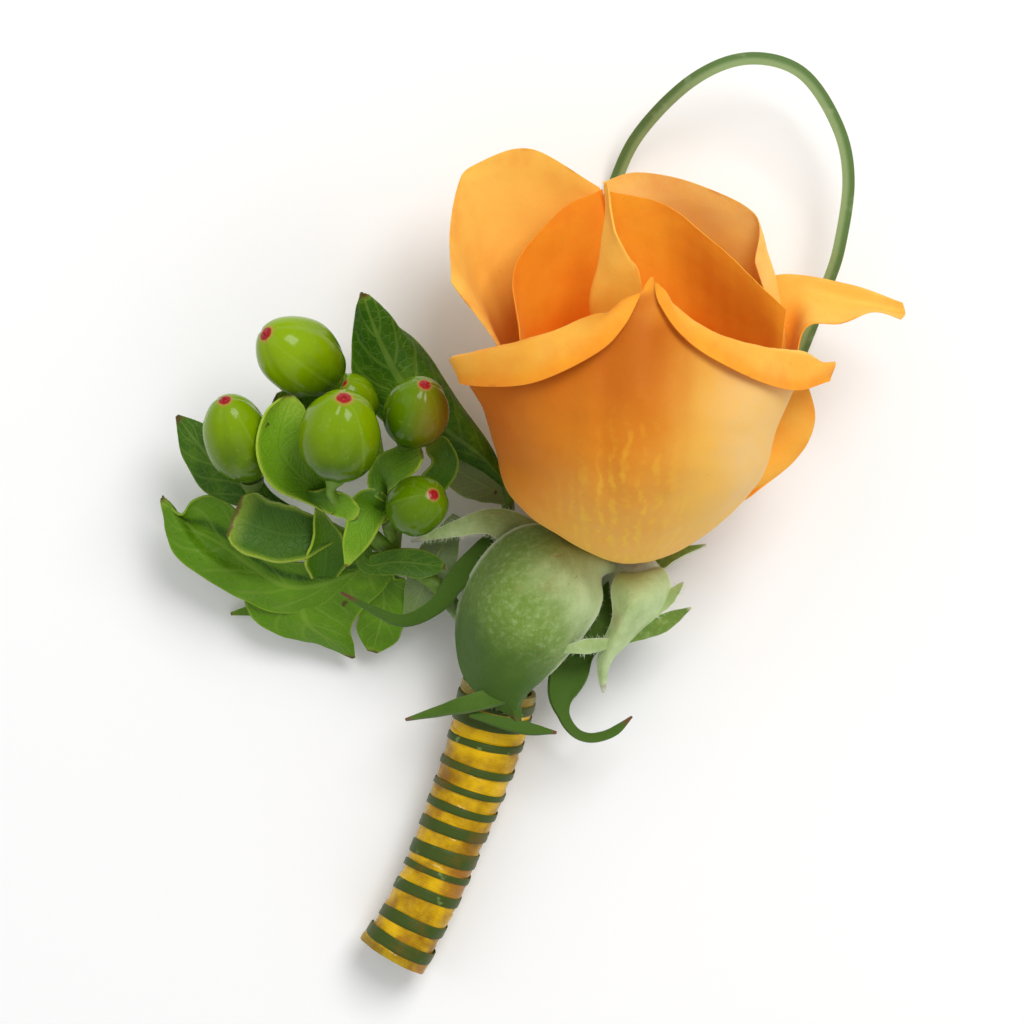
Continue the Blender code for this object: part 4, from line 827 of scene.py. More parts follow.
def build_winding(grass):
    """The blade goes once round the ribbon between one crossing in WINDING_TURNS and the next."""
    per_turn = 60
    turns = len(WINDING_TURNS) - 1
    path, forward, sideways, upward = handle_frames(WINDING_PLACES)
    tail = WINDING_TAIL * per_turn // 10
    count = np.arange(-tail, turns * per_turn + tail + 1) / per_turn
    drawn = count - WINDING_STEP * np.sin(2 * math.pi * count)
    share = 1 - keyed(drawn, [(i, turn[0]) for i, turn in enumerate(WINDING_TURNS)])
    width = keyed(count, [(i, turn[1]) for i, turn in enumerate(WINDING_TURNS)])
    rings = []
    for turn, place, wide in zip(count, share, width):
        at = place * WINDING_PLACES
        k = min(int(at), WINDING_PLACES - 1)
        centre = path[k] + (path[k + 1] - path[k]) * (at - k)
        around = 2 * math.pi * turn + math.pi / 2
        outward = math.cos(around) * sideways[k] + math.sin(around) * upward[k]
        base = float(handle_radius(place)) + WINDING_LIFT
        rings.append([centre + (base + height) * outward + side * wide * forward[k]
                      for side, height in BLADE_SECTION])
    grid = np.array(rings)
    lift = 0.05 * wander(grid, 5.0, 21)
    grid = grid + lift[..., None] * unit(grid - grid.mean(1, keepdims=True))
    weaver = Weaver()
    weaver.rings(grid, 1.0)
    weaver.make("wound_grass", grass_finish(grass), "grass", "grass_winding")


# ------------------------------------------------------------------ the loop of grass

LOOP_SPINE = [(-4.2, -17.2, 9.5), (-3.1, -13.4, 6.6), (0.0, -6.0, 1.8), (3.0, 6.0, 0.6), (5.0, 20.0, 0.6),
              (7.2, 33.0, 0.7), (10.0, 42.0, 1.6), (13.0, 48.0, 5.5), (19.0, 53.5, 12.0), (25.5, 56.0, 13.0),
              (32.0, 54.5, 12.0), (36.5, 48.5, 10.0), (38.0, 42.0, 9.0), (37.0, 34.0, 8.0),
              (35.5, 29.0, 6.0), (32.5, 21.0, 4.0), (28.5, 12.0, 2.5), (23.0, 3.5, 1.2),
              (15.5, -4.0, 0.9), (9.0, -10.5, 0.9), (2.5, -15.4, 2.6), (-2.6, -17.2, 4.6)]


def build_loop(grass):
    spine = [*in_handle(GRASS_PLACES[0], 5), *LOOP_SPINE, *in_handle(GRASS_PLACES[1], 5)[::-1]]
    half = grass.blade_width / MM / 2
    grid = leaf_grid(spine, ((0, half), (0.5, half * 1.08), (1, half * 0.9)), (0, 0, 1), fold=-22,
                     across=8, along=420, ruffle=0.03)
    u, _ = across_and_along(grid)
    weaver = Weaver()
    weaver.sheet(grid, 0.34 - 0.16 * np.abs(u) + 0 * grid[..., 0])
    weaver.make("bear_grass_loop", grass_finish(grass), "grass", "grass_loop")


# ------------------------------------------------------------------ the rose's calyx and stem

HIP_RADIUS = 4.2
HIP_LENGTH = 9.4
ROSE_STEM_RADIUS = 1.6
SEPAL_THICKNESS = 0.4
DOWNY_TONE = 0.6             # a sepal with a higher tone has white hairs along its margin
HAIRS_PER_MM = 6.0
HAIR_RADIUS = 0.022
# the last number is the sepal's tone: 0 dark and glossy, 1 pale and downy
SEPALS = {
    "front_right_inner": (dict(spine=[(10.5, -6.0, 9.0), (8.0, -11.0, 11.0), (6.0, -14.5, 11.0)],
                               outline=((0, 1), (.5, 1.9), (1, .2)), up=(0, 0, 1), cup=20), 0.1),
    "side_lobe_left": (dict(spine=[(9.5, -13.6, 13.2), (5.5, -14.0, 15.5), (2.5, -14.5, 14.5)],
                            outline=((0, .5), (.4, .9), (1, .12)), up=(0, -.3, 1), cup=-20), 0.9),
    "side_lobe_right": (dict(spine=[(10.8, -13.2, 12.6), (15.0, -11.5, 12.0), (19.0, -9.5, 10.0)],
                             outline=((0, .6), (.5, 1.1), (1, .12)), up=(0, .2, 1), cup=-20), 0.35),
    "side_lobe_small": (dict(spine=[(14.0, -10.5, 12.0), (16.5, -8.0, 11.5), (18.0, -6.5, 10.0)],
                             outline=((0, .5), (.4, .8), (1, .12)), up=(0, .2, 1), cup=-20), 0.8),
    "left": (dict(spine=[(9.5, -4.8, 7.0), (5.0, -3.4, 8.0), (0.0, -1.4, 9.8), (-4.5, .8, 12.4),
                         (-9.0, 0.0, 13.5), (-14.5, -1.5, 12.0)],
                  outline=((0, 1.8), (.45, 2.3), (.7, 1.3), (1, .12)), up=(0, .2, 1), cup=-20), 0.85),
    "strap": (dict(spine=[(9.5, -7.0, 5.5), (2.5, -4.0, 7.0), (-3.0, -1.4, 9.6), (-8.0, -5.0, 11.6),
                          (-11.5, -9.2, 11.8), (-15.5, -11.0, 11.2), (-19.5, -9.5, 10.8),
                          (-23.0, -7.6, 10.9)],
                   outline=((0, 1.2), (.4, 1.7), (.7, 1.0), (1, .12)), up=(-.3, .5, 1), cup=25,
                   along=80), 0.0),
    "curl": (dict(spine=[(10.0, -8.0, 5.0), (5.6, -13.4, 8.2), (4.3, -16.8, 9.6), (3.3, -20.0, 10.4),
                         (3.8, -22.6, 10.6), (5.0, -24.3, 10.6), (6.5, -25.0, 10.6), (8.2, -24.9, 10.4),
                         (10.0, -24.2, 10.0), (11.9, -22.6, 9.4)],
                  outline=((0, 1.6), (.25, 2.5), (.4, 2.7), (.52, 1.9), (.64, .7), (.8, .55), (.9, .55),
                           (1, .12)),
                  up=(.3, .1, 1), cup=30, along=90), -0.2),
    "back_right": (dict(spine=[(13.0, -6.0, 6.0), (17.0, -3.3, 6.5), (21.0, -2.0, 6.0)],
                        outline=((0, 1.0), (.4, .9), (1, .12)), up=(0, .5, 1), cup=20), 0.5),
}


# the two broad sepals' ribs, side by side, each from the calyx to the tip
SEPAL_RIBS = {
    "front_left": dict(across=60, along=90, ribs=[
        [(10.2, -3.5, 7.6), (1.9, .2, 12), (-2.7, -.4, 13), (-6.7, -4.4, 12.5), (-9, -10, 11.5),
         (-8.6, -16.4, 11.6), (-5.8, -20.2, 12.6), (-2.6, -22.4, 13), (-2.2, -24.3, 12.8)],
        [(10.4, -3.9, 8), (2.6, -1.3, 16.5), (-2.1, -4.2, 19), (-5.1, -8.9, 19), (-5.6, -14.9, 17),
         (-3.9, -19.6, 14.4), (-2.4, -22.2, 13.3), (-2, -24.3, 12.9)],
        [(10.6, -4.2, 8.2), (4.3, -2.9, 18), (1.3, -6.5, 21), (-.4, -11.8, 20.5), (-1.6, -17.2, 17),
         (-2.2, -21.6, 13.8), (-1.9, -24.3, 13)],
        [(10.8, -4.6, 8), (6.5, -4.6, 16), (5.5, -8.3, 18.5), (3.1, -13, 18), (.5, -17.4, 15.5),
         (-1.7, -21, 13.6), (-1.7, -24.3, 12.9)],
        [(10.9, -5, 7.6), (8.1, -5.7, 12.6), (8.1, -8.5, 13.5), (6.8, -11.4, 13.5), (2.9, -16.2, 13),
         (-1.3, -20, 13.2), (-1.4, -22.2, 13), (-1.5, -24.3, 12.8)]]),
    "front_right": dict(across=36, along=60, ribs=[
        [(12.2, -5, 7.6), (10.2, -5.6, 11.6), (9.4, -7.2, 13.2), (9.5, -10.6, 13.5), (8, -14.5, 12),
         (7.8, -16.9, 11.5), (8.3, -19.6, 10.5)],
        [(13, -5.2, 7.8), (11.5, -6, 13.8), (11.8, -8.8, 16.3), (9.8, -13.2, 14.5), (8.5, -16.7, 12.2),
         (8.4, -19.6, 10.5)],
        [(13.5, -5, 7.8), (13.6, -5.6, 12.8), (14.4, -7.8, 14.3), (12, -12.2, 13.5), (9.1, -16, 12),
         (8.5, -19.6, 10.5)],
        [(14, -4.8, 7.6), (15.7, -5, 10.6), (16.4, -7.4, 11), (14.5, -10.9, 11.5), (10.1, -14.6, 11.5),
         (8.9, -16.6, 11.5), (8.6, -19.6, 10.4)]]),
}


# two thin blades that lie over the top of the handle
STIPULES = {
    "left_blade": (dict(spine=[(-1.0, -19.2, 13.0), (-3.0, -19.7, 13.5), (-8.5, -21.0, 13.5),
                               (-15.2, -22.8, 12.0)],
                        outline=((0, .9), (.35, 1.2), (.7, .7), (1, .12)), up=(0, .5, 1), cup=20), 0.1),
    "right_blade": (dict(spine=[(-7.5, -22.0, 13.4), (-2.0, -23.5, 13.4), (2.8, -24.3, 12.8)],
                         outline=((0, .4), (.6, .8), (1, .12)), up=(0, .5, 1), cup=20), -0.1),
}


def add_down(weaver, grid, length, draw):
    """White hairs along a sepal's margin."""
    for row, sign in ((0, -1), (-1, 1)):
        edge = grid[row]
        inward = grid[1 if row == 0 else -2]
        total = np.linalg.norm(np.diff(edge, axis=0), axis=1).sum()
        for _ in range(int(total * HAIRS_PER_MM)):
            at = draw.uniform(0.06, 0.97) * (len(edge) - 1)
            k = int(at)
            root = edge[k] + (edge[k + 1] - edge[k]) * (at - k)
            outward = unit(edge[k] - inward[k])
            forward = unit(edge[k + 1] - edge[k])
            direction = outward + forward * draw.uniform(-0.2, 0.9) + draw.normal(size=3) * 0.25
            bend = draw.normal(size=3) * 0.12
            weaver.hair(root, direction, length * draw.uniform(0.4, 1.1), HAIR_RADIUS, bend)


def build_calyx(rose):
    weaver = Weaver()
    draw = np.random.default_rng(11)
    path = [*in_handle(ROSE_STEM_PLACE, 8), (-1.8, -16.9, 7.6), (2.0, -14.9, 7.2), (7.0, -13.4, 6.2),
            (10.8, -10.8, 5.6), rose_place(-6.5)]
    weaver.tube(smooth_path(path, 120), ROSE_STEM_RADIUS, 20, tone=0.2, bumps=0.06)
    half = HIP_LENGTH / 2
    turn = np.linspace(0.12, math.pi - 0.35, 26)
    profile = [(-half * math.cos(t), HIP_RADIUS * math.sin(t)) for t in turn]
    weaver.rings(turned_grid(rose_place(-half - 1.0), rose_frame()[2], profile, 36), 0.7)
    sheets = [(ribbed_grid(**sepal, seed=i, waves=0.08), 1.0) for i, sepal in enumerate(SEPAL_RIBS.values())]
    # Painted light and shade on the broad front-left sepal: lighter towards its upper right by the calyx,
    # darker towards its tip and its left side, as the key light falls.
    u, v = across_and_along(sheets[0][0])
    sheets[0] = (sheets[0][0], 0.60 + 0.62 * eased((u + 0.9) / 1.9) * eased((0.95 - v) / 0.75)
                 - 0.62 * eased((v - 0.40) / 0.45) - 0.12 * eased((-0.1 - u) / 0.6))
    sheets += [(leaf_grid(**sepal, seed=5 * i + 2), tone) for i,
               (sepal, tone) in enumerate((SEPALS | STIPULES).values())]
    for grid, tone in sheets:
        weaver.sheet(grid, SEPAL_THICKNESS, tone)
        if np.max(tone) > DOWNY_TONE:
            add_down(weaver, grid, rose.hair_length / MM, draw)
    weaver.make("rose_calyx_and_stem", downy_finish(rose), "rose_green", "rose_calyx")


# ------------------------------------------------------------------ the hypericum

BERRIES = {
    "top": dict(centre=(-27.2, 20.1, 22.0), direction=(-.6, .4, .69), radius=4.5, half=6.2),
    "left": dict(centre=(-34.5, 10.6, 21.0), direction=(-.2, .72, .66), radius=3.95, half=6.1),
    "middle": dict(centre=(-22.3, 10.8, 27.0), direction=(.12, .72, .68), radius=4.8, half=5.9),
    "right": dict(centre=(-13.6, 13.7, 23.0), direction=(.24, .66, .71), radius=3.85, half=4.6),
    "low": dict(centre=(-13.5, 2.8, 22.0), direction=(.45, .28, .85), radius=3.5, half=4.4),
    "hidden": dict(centre=(-21.3, 15.4, 15.3), direction=(-.3, .5, .8), radius=2.9, half=3.7),
}
BERRY_SIDES = 72
# how deep each berry's green is, from 0, the lightest
BERRY_SHADES = {"top": 0.0, "left": 0.25, "middle": 0.3, "right": 0.75, "low": 0.8, "hidden": 0.3}
# the three large leaves' ribs, side by side, each from the twig to the tip, and the leaf's tone
LEAF_RIBS = {
    "upper": (dict(across=40, along=70, ribs=[
        [(-3.3, 4.8, 8), (-7.9, 8, 9), (-13.9, 10.3, 10), (-18.5, 13.5, 11.5), (-21.3, 17.5, 13),
         (-21.5, 21.6, 14.5), (-21, 25.2, 16), (-20.4, 27.7, 18)],
        [(-3.2, 4.9, 8.2), (-6.8, 8.8, 10), (-11.3, 12.3, 11.8), (-15.2, 16, 13.5), (-18.2, 20.3, 15),
         (-19.5, 24.4, 16.5), (-20.2, 27.9, 18)],
        [(-3, 5, 8), (-5.6, 9.3, 9.6), (-8.8, 13.5, 11.4), (-12, 17.5, 13), (-15.2, 22.3, 14.8),
         (-17.4, 25.3, 16.3), (-20, 27.8, 18)],
        [(-2.9, 5.1, 7.6), (-5, 9.7, 8.6), (-7.9, 13.9, 9.8), (-10.8, 18.1, 11), (-14, 22.7, 13),
         (-17.4, 25.1, 15.5), (-19.7, 27.6, 17.8)]]), 0.1),
    "large": (dict(across=44, along=80, ribs=[
        [(-16.4, -2.8, 10.9), (-22.5, -3, 11), (-28.6, -4, 11), (-33, -1.5, 11.5), (-35.6, 2.2, 11.8),
         (-38.3, 3.9, 11.8), (-40.6, 3.3, 11.8), (-42.3, 1.9, 10.8), (-44.2, 4.1, 10.7)],
        [(-16.4, -3.1, 10.8), (-22.5, -4.6, 10), (-28.7, -5.2, 9.8), (-33.4, -4.2, 9.3), (-37.1, -2.6, 9),
         (-40.8, 0, 9), (-44.3, 3.9, 10.5)],
        [(-16.4, -3.3, 10.7), (-23, -6.6, 9.6), (-30, -7.8, 9.3), (-36, -5.6, 9.6), (-40.2, -2.8, 10),
         (-42.5, .3, 10.4), (-44.4, 3.7, 10.4)],
        [(-16.4, -3.5, 10.6), (-23, -8.8, 8), (-30.3, -10.3, 7.5), (-34.8, -8.7, 8), (-39.5, -5.9, 8.5),
         (-42.9, -3.3, 9), (-44, -.8, 9.5), (-44.2, 1.5, 10), (-44.5, 3.4, 10.3)]]), 0.9),
    "low_front": (dict(across=40, along=70, ribs=[
        [(-16.3, -3, 10.5), (-28.8, -5.7, 8.2), (-34.6, -6.2, 7.2), (-34.2, -10.4, 6), (-30.4, -13, 5),
         (-26, -13.9, 4.5), (-22.3, -15.8, 3.5)],
        [(-16.1, -3.2, 10.6), (-21.4, -6.8, 9.5), (-26.5, -8.7, 8), (-25.6, -11.1, 7), (-23.4, -13.4, 5.5),
         (-22, -15.9, 3.5)],
        [(-15.9, -3.4, 10.6), (-17.7, -6.8, 9), (-20.5, -9.7, 7.5), (-22, -12, 6), (-21.8, -13.9, 4.5),
         (-21.6, -15.8, 3.4)]]), 0.8),
}
# the last number is the leaf's tone: 0 dark green, 1 mid green, 2 grey-green, 3 a bright young lobe; a lobe's
# tone under 3 gives it more painted shade
LEAVES = {
    "far_left": (dict(spine=[(-24.5, 0.0, 13.0), (-31.0, 2.6, 12.6), (-37.5, 7.5, 13.0), (-42.5, 13.5, 12.0)],
                      outline=((0, .8), (.35, 1.4), (.6, 3.4), (.8, 2.8), (1, .2)), up=(-.2, 0, 1),
                      cup=-20), 0.2),
    "low_right": (dict(spine=[(-15.8, -3.4, 10.6), (-18.2, -5.0, 8.6), (-18.0, -9.5, 6.0),
                              (-19.5, -15.0, 4.0)],
                       outline=((0, .8), (.4, 3.0), (.8, 2.8), (.95, 1.4), (1, .6)), up=(0, 0, 1),
                       cup=20), 1.0),
    "middle": (dict(spine=[(-20.0, -1.6, 12.0), (-19.8, -4.2, 12.6), (-16.0, -3.9, 12.8),
                           (-10.5, -4.5, 12.0)],
                    outline=((0, .7), (.3, 1.2), (.7, 1.9), (.9, 1.2), (1, .2)), up=(0, -.2, 1),
                    cup=25), 0.3),
    "pale_low": (dict(spine=[(-9.0, 1.5, 8.2), (-12.4, -5.2, 9.1), (-15.0, -11.0, 6.0)],
                      outline=((0, .8), (.5, 2.6), (1, .8)), up=(0, 0, 1), cup=10), 1.8),
    "pale_high": (dict(spine=[(-3.0, 3.5, 8.0), (-7.5, 6.0, 9.0), (-12.5, 9.0, 8.0)],
                       outline=((0, .8), (.5, 2.4), (1, .2)), up=(0, .3, 1), cup=10), 1.8),
    "under": (dict(spine=[(-15.6, -3.8, 10.4), (-20.0, -6.5, 6.0), (-26.0, -8.5, 2.6), (-37.0, -10.5, .5)],
                   outline=((0, .6), (.3, 1.5), (.7, 1.4), (1, .2)), up=(0, 0, 1), cup=10), 1.2),
    "lobe_cup": (dict(spine=[(-21.3, 2.0, 17.4), (-25.0, 4.0, 18.4), (-29.4, 9.0, 22.4), (-28.2, 15.6, 23.0)],
                      outline=((0, 1.0), (.3, 2.0), (.6, 3.7), (.85, 3.0), (.95, 1.8), (1, .4)),
                      up=(.45, -.1, 1), cup=40), 3.0),
    "lobe_behind_left": (dict(spine=[(-20.0, 12.8, 11.0), (-23.5, 12.6, 12.8), (-26.5, 13.6, 15.4),
                                     (-30.5, 15.5, 17.0)],
                              outline=((0, 1), (.6, 3.0), (.9, 2.0), (1, .6)), up=(0, 0, 1), cup=20), 2.6),
    "lobe_spoon": (dict(spine=[(-15.8, 3.0, 12.8), (-17.5, 6.0, 17.0), (-13.0, 9.0, 20.5)],
                        outline=((0, .8), (.6, 2.6), (.88, 2.2), (1, .8)), up=(-.2, .5, 1), cup=20), 3.0),
    "lobe_ragged": (dict(spine=[(-26.5, 4.0, 19.4), (-22.8, 3.0, 19.8), (-20.6, 1.4, 19.5)],
                         outline=((0, .5), (.5, 1.5), (.9, 1.1), (1, .3)), up=(0, -.5, 1),
                         wave=(.4, 6, 0)), 3.0),
    "lobe_hanging": (dict(spine=[(-18.4, 1.0, 13.6), (-19.0, 2.6, 17.0), (-20.0, 0.6, 19.0),
                                 (-22.0, -4.4, 18.0)],
                          outline=((0, 1.2), (.35, 2.5), (.75, 1.6), (1, .2)), up=(0, .3, 1), cup=30), 2.9),
    "lobe_flag": (dict(spine=[(-25.0, -5.6, 11.6), (-24.8, -1.4, 13.4), (-25.5, 2.5, 17.0)],
                       outline=((0, 1.8), (.25, 2.9), (.75, 1.2), (1, .2)), up=(.3, 0, 1), cup=45), 2.7),
    "lobe_under_left": (dict(spine=[(-23.4, -.4, 12.6), (-30.0, -.6, 14.6), (-35.5, 1.5, 16.0)],
                             outline=((0, 1.0), (.5, 3.6), (.9, 3.6), (1, 2.6)), up=(.3, 0, 1),
                             cup=30), 2.5),
    "lobe_bow": (dict(spine=[(-16.0, 2.6, 13.0), (-12.6, 4.6, 15.4), (-10.4, 8.0, 16.4), (-12.6, 11.0, 15.8)],
                      outline=((0, .6), (.5, 1.7), (.85, 1.5), (1, .3)), up=(.2, 0, 1), cup=20), 2.6),
}
LARGE_LEAF = 1               # the leaf with a dark band of painted shade along its fold
MIDRIB_HEIGHT = 0.22
STEM_FORK = (-16.5, -3.0, 11.0)
TWIG_RADIUS = 0.65
SPRAY_STEM_RADIUS = 0.95
GAP = 0.3


def berry_seat(berry, extra=0.0):
    """The point on a berry's axis, this much below its lower end."""
    return np.array(berry["centre"]) - (berry["half"] + extra) * unit(berry["direction"])


def build_berries(leafy):
    finish = berry_finish(leafy)
    for seed, (name, berry) in enumerate(BERRIES.items()):
        weaver = Weaver()
        turn = np.linspace(0.08, math.pi - 0.1, 60)
        radius, half = berry["radius"], berry["half"]
        profile = [(-half * math.cos(t), radius * math.sin(t) * (1 + 0.06 * math.cos(t))) for t in turn]
        profile += [(half * 1.0, 0.3), (half * 1.02, 0.24), (half * 1.05, 0.2), (half * 1.06, 0.1)]
        grid = turned_grid(berry["centre"], berry["direction"], profile, BERRY_SIDES)
        around = angles(BERRY_SIDES)[None]
        share = np.linspace(0, 1, len(profile))[:, None]
        groove = -0.045 * np.exp(-(np.sin(around * 1.5 + 0.3) / 0.25) ** 2) * np.sin(math.pi * share) * radius
        outward = unit(grid - np.array(berry["centre"]))
        swell = groove + 0.07 * wander(grid, 6.0, seed + 3) * np.sin(math.pi * share)
        grid = grid + outward * swell[..., None]
        blush = np.clip(outward @ np.array((0.9, -0.2, 0.2)), 0, 1) if name == "right" else 0.0
        reach = np.array([place for place, _ in profile])[:, None] / half * 0.5 + 0.5
        weaver.rings(grid, blush, np.clip(reach, 0, 1.02) + 0 * around, BERRY_SHADES[name])
        weaver.make(f"berry_{name}", finish, "hypericum_berry", f"hypericum_berry_{name}")


def build_twigs(leafy):
    weaver = Weaver()
    main = [*in_handle(SPRAY_STEM_PLACE, 8), (-6.5, -14.0, 9.0), (-11.0, -7.5, 9.5), STEM_FORK,
            (-20.5, 0.0, 13.0)]
    side = [(-6.0, -15.0, 8.8), (-3.2, -4.0, 7.0), (-3.0, 6.0, 8.0)]
    weaver.tube(smooth_path(main, 120), SPRAY_STEM_RADIUS, 16, bumps=0.05)
    weaver.tube(smooth_path(side, 50), TWIG_RADIUS + 0.1, 12, bumps=0.05)
    for berry in BERRIES.values():
        seat, below = berry_seat(berry, 0.1), berry_seat(berry, GAP + 3.5)
        middle = (np.array(STEM_FORK) + below) / 2 + (0, 0, -1.0)
        path = smooth_path([STEM_FORK, middle, below, seat], 60)
        radii = TWIG_RADIUS + 0.85 * eased((np.linspace(0, 1, 61) - 0.86) / 0.14)
        weaver.tube(path, radii, 14, up=(0.3, 0.9, 0.2), bumps=0.04)
    weaver.make("hypericum_twigs", twig_finish(leafy), "hypericum_leaf", "hypericum_spray")


def build_leaves(leafy):
    weaver = Weaver()
    sheets = [(ribbed_grid(**leaf, seed=i + 20, waves=0.2), tone) for i,
              (leaf, tone) in enumerate(LEAF_RIBS.values())]
    sheets += [(leaf_grid(**leaf, seed=3 * i + 40), tone) for i, (leaf, tone) in enumerate(LEAVES.values())]
    for i, (grid, tone) in enumerate(sheets):
        u, v = across_and_along(grid)
        if i == LARGE_LEAF:
            # a dark band of painted shade along the large leaf's fold
            tone = tone - 0.9 * np.exp(-((u + 0.32) / 0.13) ** 2) + 0 * grid[..., 0]
        rib = MIDRIB_HEIGHT * np.exp(-(u / 0.12) ** 2) * (1 - 0.7 * v)
        weaver.sheet(grid, leafy.leaf_thickness / MM + rib, tone)
    weaver.make("hypericum_leaves", hypericum_finish(leafy), "hypericum_leaf", "hypericum_spray")


# ------------------------------------------------------------------ the floor, the lights and the camera

CAMERA_HEIGHT = 0.418
CAMERA_PLACE = (-2.5, 2.0)   # over this point of the tables above, in millimetres
LENS = 119.53
SENSOR_WIDTH = 36
CAMERA_CLIP = 0.01
FLOOR_REACH = 3.0
FLOOR_DROP = 0.0001          # the floor lies this far under the flower
# where each light stands and how wide it is, in metres
LIGHTS = {"key": ((0.22, 0.32, 0.62), 0.35), "fill": ((-0.45, 0.15, 0.5), 0.5),
          "front": ((0.1, -0.5, 0.5), 0.5)}


def build_stage(stage):
    finish = Finish("floor", roughness=0.9, specular_ior_level=0.1)
    finish.put(base_color=tuple(stage.floor_colour))
    corners = [(x * FLOOR_REACH, y * FLOOR_REACH, 0) for x, y in ((-1, -1), (1, -1), (1, 1), (-1, 1))]
    mesh = bpy.data.meshes.new("floor")
    mesh.from_pydata(corners, [], [(0, 1, 2, 3)])
    mesh.materials.append(finish.material)
    floor = add_object("floor", mesh)
    floor.location.z = -FLOOR_DROP
    for name, energy in (("key", stage.key_light), ("fill", stage.fill_light), ("front", stage.front_light)):
        (x, y, z), width = LIGHTS[name]
        light = bpy.data.lights.new(name, "AREA")
        light.energy = energy
        light.size = width
        lamp = add_object(name, light)
        lamp.location = (x, y, z)
        lamp.rotation_euler = (math.atan2(math.hypot(x, y), z), 0, math.atan2(x, -y))
    world = bpy.data.worlds.new("studio")
    world.use_nodes = True
    world.node_tree.nodes["Background"].inputs["Color"].default_value = (1, 1, 1, 1)
    world.node_tree.nodes["Background"].inputs["Strength"].default_value = stage.sky_light
    bpy.context.scene.world = world
    bpy.context.scene.view_settings.view_transform = "Standard"
    camera = bpy.data.cameras.new("camera")
    camera.lens = LENS
    camera.sensor_width = SENSOR_WIDTH
    camera.clip_start = CAMERA_CLIP
    view = add_object("camera", camera)
    view.location = (*(MM * (np.array(CAMERA_PLACE) + DRAWING_SHIFT[:2])), CAMERA_HEIGHT)
    bpy.context.scene.camera = view


# ------------------------------------------------------------------ settings, operators and the panel

def colour(name, description, red, green, blue):
    return FloatVectorProperty(name=name, description=description, subtype="COLOR", size=3, min=0, max=1,
                               default=srgb(red, green, blue))


def distance(name, description, default, low, high):
    return FloatProperty(name=name, description=description, default=default, min=low, max=high,
                         unit="LENGTH", precision=5)


class RoseSettings(PropertyGroup):
    petal_thickness: distance("Petal thickness", "Thickness of a petal in its middle", 0.00035, 0.0001, 0.001)
    peach_colour: colour("Peach", "Palest cheek of the front petal", 240, 196, 132)
    pale_colour: colour("Pale petal", "Outer face and lips of the outer petals", 251, 196, 88)
    petal_colour: colour("Petal", "Middle tone of the petals", 248, 160, 40)
    heart_colour: colour("Heart", "Deep orange of the inner petals", 246, 104, 0)
    # painted shade: the tawny colour that stands for shade in the front petal's crease and on its left cheek
    shade_colour: colour("Petal shade", "Darkest tawny cheek of the front petal", 190, 100, 18)
    vein_colour: colour("Veins", "Fine veins that fan out from the foot of a petal", 250, 205, 60)
    blush_petal: colour("Petal rims", "Reddish tinge of the petals' rims", 238, 126, 40)
    scorch_colour: colour("Scorch", "Darker specks and worn rims", 196, 92, 30)
    sepal_colour: colour("Sepal", "Downy outer face of the sepals", 116, 146, 58)
    # these two also give the painted light and the painted shade on the broad front-left sepal
    sepal_pale: colour("Sepal highlights", "Palest down", 216, 236, 178)
    sepal_dark: colour("Sepal inside", "Glossy green of the sepals' inner faces", 66, 98, 22)
    blush_colour: colour("Blush", "Rosy patches on the sepals", 176, 130, 92)
    tip_colour: colour("Dry tips", "Dry brown tips of the sepals", 110, 66, 44)
    hair_colour: colour("Hairs", "White hairs on the sepals' margins", 226, 232, 206)
    hair_length: distance("Hair length", "Longest hairs on the margins", 0.0007, 0.0, 0.002)


class HypericumSettings(PropertyGroup):
    leaf_thickness: distance("Leaf thickness", "Thickness of a leaf beside its midrib", 0.00028, 0.0001,
                             0.001)
    leaf_colour: colour("Leaf", "Upper face of the leaves", 90, 136, 12)
    leaf_light: colour("Leaf patches", "Lighter patches between the veins", 112, 156, 26)
    leaf_dark: colour("Dark leaf", "Leaves in shade and their undersides", 50, 92, 6)
    leaf_grey: colour("Grey leaf", "Matt grey-green undersides", 122, 140, 96)
    lobe_colour: colour("Lobes", "Young bright lobes round the berries", 124, 170, 30)
    rim_colour: colour("Rims", "Yellow-green rims of the leaves and lobes", 186, 208, 70)
    vein_colour: colour("Veins", "Pale net of veins", 160, 184, 80)
    brown_colour: colour("Dry tips", "Dry tips and specks", 84, 54, 30)
    twig_colour: colour("Twig", "Stem and twigs", 84, 106, 40)
    berry_colour: colour("Berry", "Upper part of the berries", 132, 164, 2)
    berry_light: colour("Berry lines", "Lines between a berry's lobes", 170, 196, 84)
    berry_dark: colour("Berry foot", "Lower part of the berries", 46, 82, 0)
    berry_deep: colour("Shaded berries", "Green of the berries deep in the spray", 60, 98, 0)
    blush_colour: colour("Berry blush", "Brown side of a ripening berry", 150, 92, 34)
    halo_colour: colour("Style halo", "Pinkish ring at the top of a berry", 200, 120, 84)
    style_colour: colour("Style", "Red mark at the top of a berry", 156, 26, 30)


class GrassSettings(PropertyGroup):
    blade_width: distance("Blade width", "Width of the grass blade", 0.0014, 0.0005, 0.004)
    dark_colour: colour("Dark half", "Shaded half of the blade", 84, 118, 52)
    light_colour: colour("Light half", "Lit half of the blade", 148, 172, 112)
    pale_colour: colour("Ribs", "Fine ribs and worn patches", 178, 194, 150)
    winding_colour: colour("Winding", "The blade wound round the ribbon", 62, 80, 22)
    worn_colour: colour("Worn winding", "Brown patches on the winding", 112, 82, 24)
    gleam_colour: colour("Winding gleam", "Pale patches where the film over the winding gleams", 146, 166, 96)


class HandleSettings(PropertyGroup):
    ribbon_turns: FloatProperty(name="Ribbon turns", description="Turns of the ribbon along the handle",
                                default=9.0, min=2, max=30)
    ribbon_colour: colour("Ribbon", "Yellow ribbon", 228, 182, 0)
    shadow_colour: colour("Ribbon creases", "Creases and thin places", 140, 96, 0)
    green_colour: colour("Under the ribbon", "Green showing through at the cut end", 96, 104, 32)
    stain_colour: colour("Stains", "Reddish-brown marks", 150, 86, 30)


